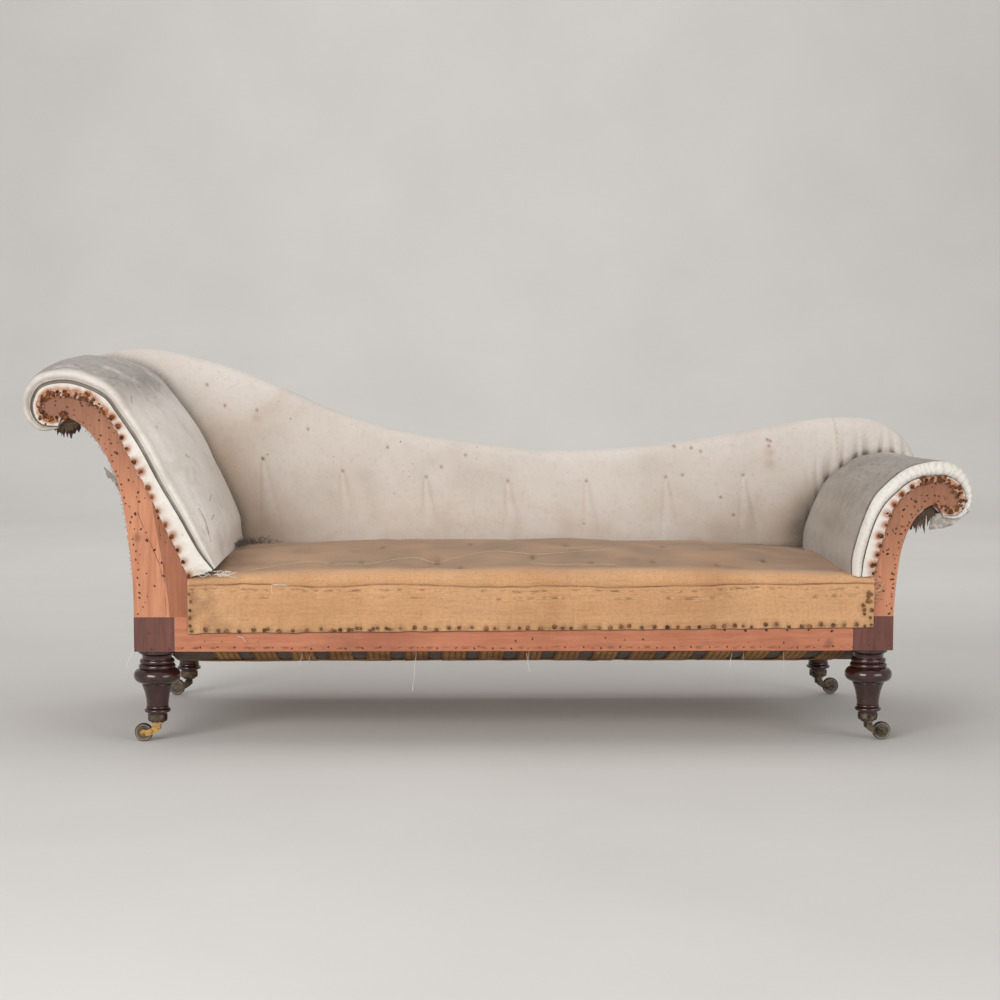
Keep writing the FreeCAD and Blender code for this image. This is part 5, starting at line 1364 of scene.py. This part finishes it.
# Ragged ends of old cloth
def hang(name, line, falls, material, raggedness, seed, count=60, dusty=0.0):
    """A torn strip that hangs from a line with an uneven lower edge."""
    rows = 14
    top_line = [(x, front_y + y, z) for x, y, z in line]
    depth = np.interp(np.linspace(0, 1, count), np.linspace(0, 1, len(falls)), falls)
    torn = [noise.noise(Vector((k * 0.21, seed, 0))) + 0.5 * noise.noise(Vector((k * 0.6, seed, 3)))
            for k in range(count)]
    drop = depth * np.maximum(1 + raggedness * np.array(torn), 0.2)
    way = fade_rows(0, 1, rows, count)
    grid = np.array([smooth(top_line, count)] * rows)
    grid[..., 1] += 4 * way
    grid[..., 2] -= drop * way
    grid[..., 1] += lumps(grid, 15, seed) * 5 * way
    grid[..., 0] += lumps(grid, 12, seed + 7) * 3 * way
    dirt = fade_rows(0.2, 0.8, rows, count) * step_up(lumps(grid, 9, seed), -0.4, 0.3)
    piece = grid_piece(name, grid, material, {"dirt": dirt, "dust": dirt * 0.3 + dusty})
    done(thickened(piece, 0.9), "hessian" if "hessian" in material else "calico")
    wide = float(run_along(np.array(top_line, float))[-1]) / 1000


hang("rag_head_scroll", [(-926, 14, 667), (-905, 15, 660), (-880, 14, 664), (-850, 16, 668)],
     (8, 17, 20, 15, 8), "old_hessian", 0.8, 3)
hang("rag_head_scroll_rear", [(-915, 34, 662), (-890, 35, 656), (-862, 33, 660)], (6, 26, 12), "old_hessian",
     0.9, 13, 50)
hang("scrap_head_board", [(-779, 5, 545), (-786, 6, 551), (-794, 8, 558), (-803, 8, 565), (-811, 9, 572)],
     (22, 20, 17, 12, 6), "old_calico", 0.5, 5, 30, 0.9)
hang("flap_foot_scroll", [(958, 6, 484), (925, 12, 474), (900, 14, 474), (880, 16, 474)], (6, 20, 31, 34),
     "old_calico", 0.08, 6, 60, 0.1)
hang("rag_foot_scroll", [(888, 8, 494), (870, 7, 485), (852, 7, 470), (838, 8, 450)], (22, 36, 24, 8),
     "old_hessian", 0.75, 8)


# CAD nodes that keep their shape take these finishes, and the others their slot's
slot_of = {entry["node"]: entry["material_slot"] for entry in frame["record"]["subparts"]}
kept_nodes = {
    "striped_webbing": ["seat_webbing_cross", "seat_webbing_long"],
    "upright_webbing": ["back_webbing"], "end_webbing": ["end_webbing"], "back_hessian": ["back_canvas"],
    "end_hessian": ["head_canvas", "foot_canvas"], "flat_hessian": ["seat_canvas"],
    "upright_wood": ["back_uprights"], "bright_brass": ["castor_horn_front_head", "castor_axle_front_head"],
    "head_wheels": ["castor_wheel_front_head", "castor_wheel_rear_head"],
    "foot_wheels": ["castor_wheel_front_foot", "castor_wheel_rear_foot"],
    "cross_rail_wood": ["head_rail", "foot_rail", "head_scroll_rail", "foot_scroll_rail",
                        "head_stuffing_rail", "foot_stuffing_rail"]}
for material, nodes in kept_nodes.items():
    slot_of.update({node: material for node in nodes})
for node, piece in frame["nodes"].items():
    if slot_of.get(node) in finishes:
        piece.data.materials.clear()
        piece.data.materials.append(finishes[slot_of[node]])


# The stage: a plain pale floor and backdrop, and soft light
def stage():
    floor = Finish("plain_floor", roughness=0.75)
    floor.finish(floor.mix(floor.span(floor.noise(1.5, 3.0), 0.3, 0.7), "d6d3ce", "d0cdc8"))
    turns = [math.radians(90 * i / 16) for i in range(1, 17)]
    profile = [(-9.0, 0.0), (5.0, 0.0)]
    profile += [(5.0 + 2.5 * math.sin(angle), 2.5 - 2.5 * math.cos(angle)) for angle in turns]
    profile.append((7.5, 9.0))
    grid = np.array([[(x * 1000, y * 1000, z * 1000) for x in (-14.0, 0.0, 14.0)] for y, z in profile])
    grid_piece("floor", grid, "plain_floor")


def area_light(name, place, aim, size, power):
    lamp = bpy.data.lights.new(name, "AREA")
    lamp.shape = "RECTANGLE"
    lamp.size, lamp.size_y = size
    lamp.energy = power
    made = bpy.data.objects.new(name, lamp)
    made.location = place
    made.rotation_euler = (Vector(aim) - Vector(place)).to_track_quat("-Z", "Y").to_euler()
    bpy.context.scene.collection.objects.link(made)


stage()
area_light("window", (-2.4, -4.0, 2.1), (0.0, 0.0, 0.35), (2.6, 2.0), 122)
area_light("fill", (3.2, -3.4, 1.6), (0.0, 0.0, 0.35), (2.6, 2.0), 54)
area_light("backdrop", (0.0, 2.6, 4.6), (0.0, 7.5, 0.8), (6.0, 1.5), 130)
area_light("top", (0.0, 0.4, 3.6), (0.0, 0.0, 0.3), (3.6, 2.4), 20)
world = bpy.data.worlds.new("room")
world.use_nodes = True
world.node_tree.nodes["Background"].inputs[0].default_value = (0.92, 0.93, 0.95, 1)
world.node_tree.nodes["Background"].inputs[1].default_value = 0.5
bpy.context.scene.world = world
bpy.context.scene.view_settings.view_transform = "Standard"
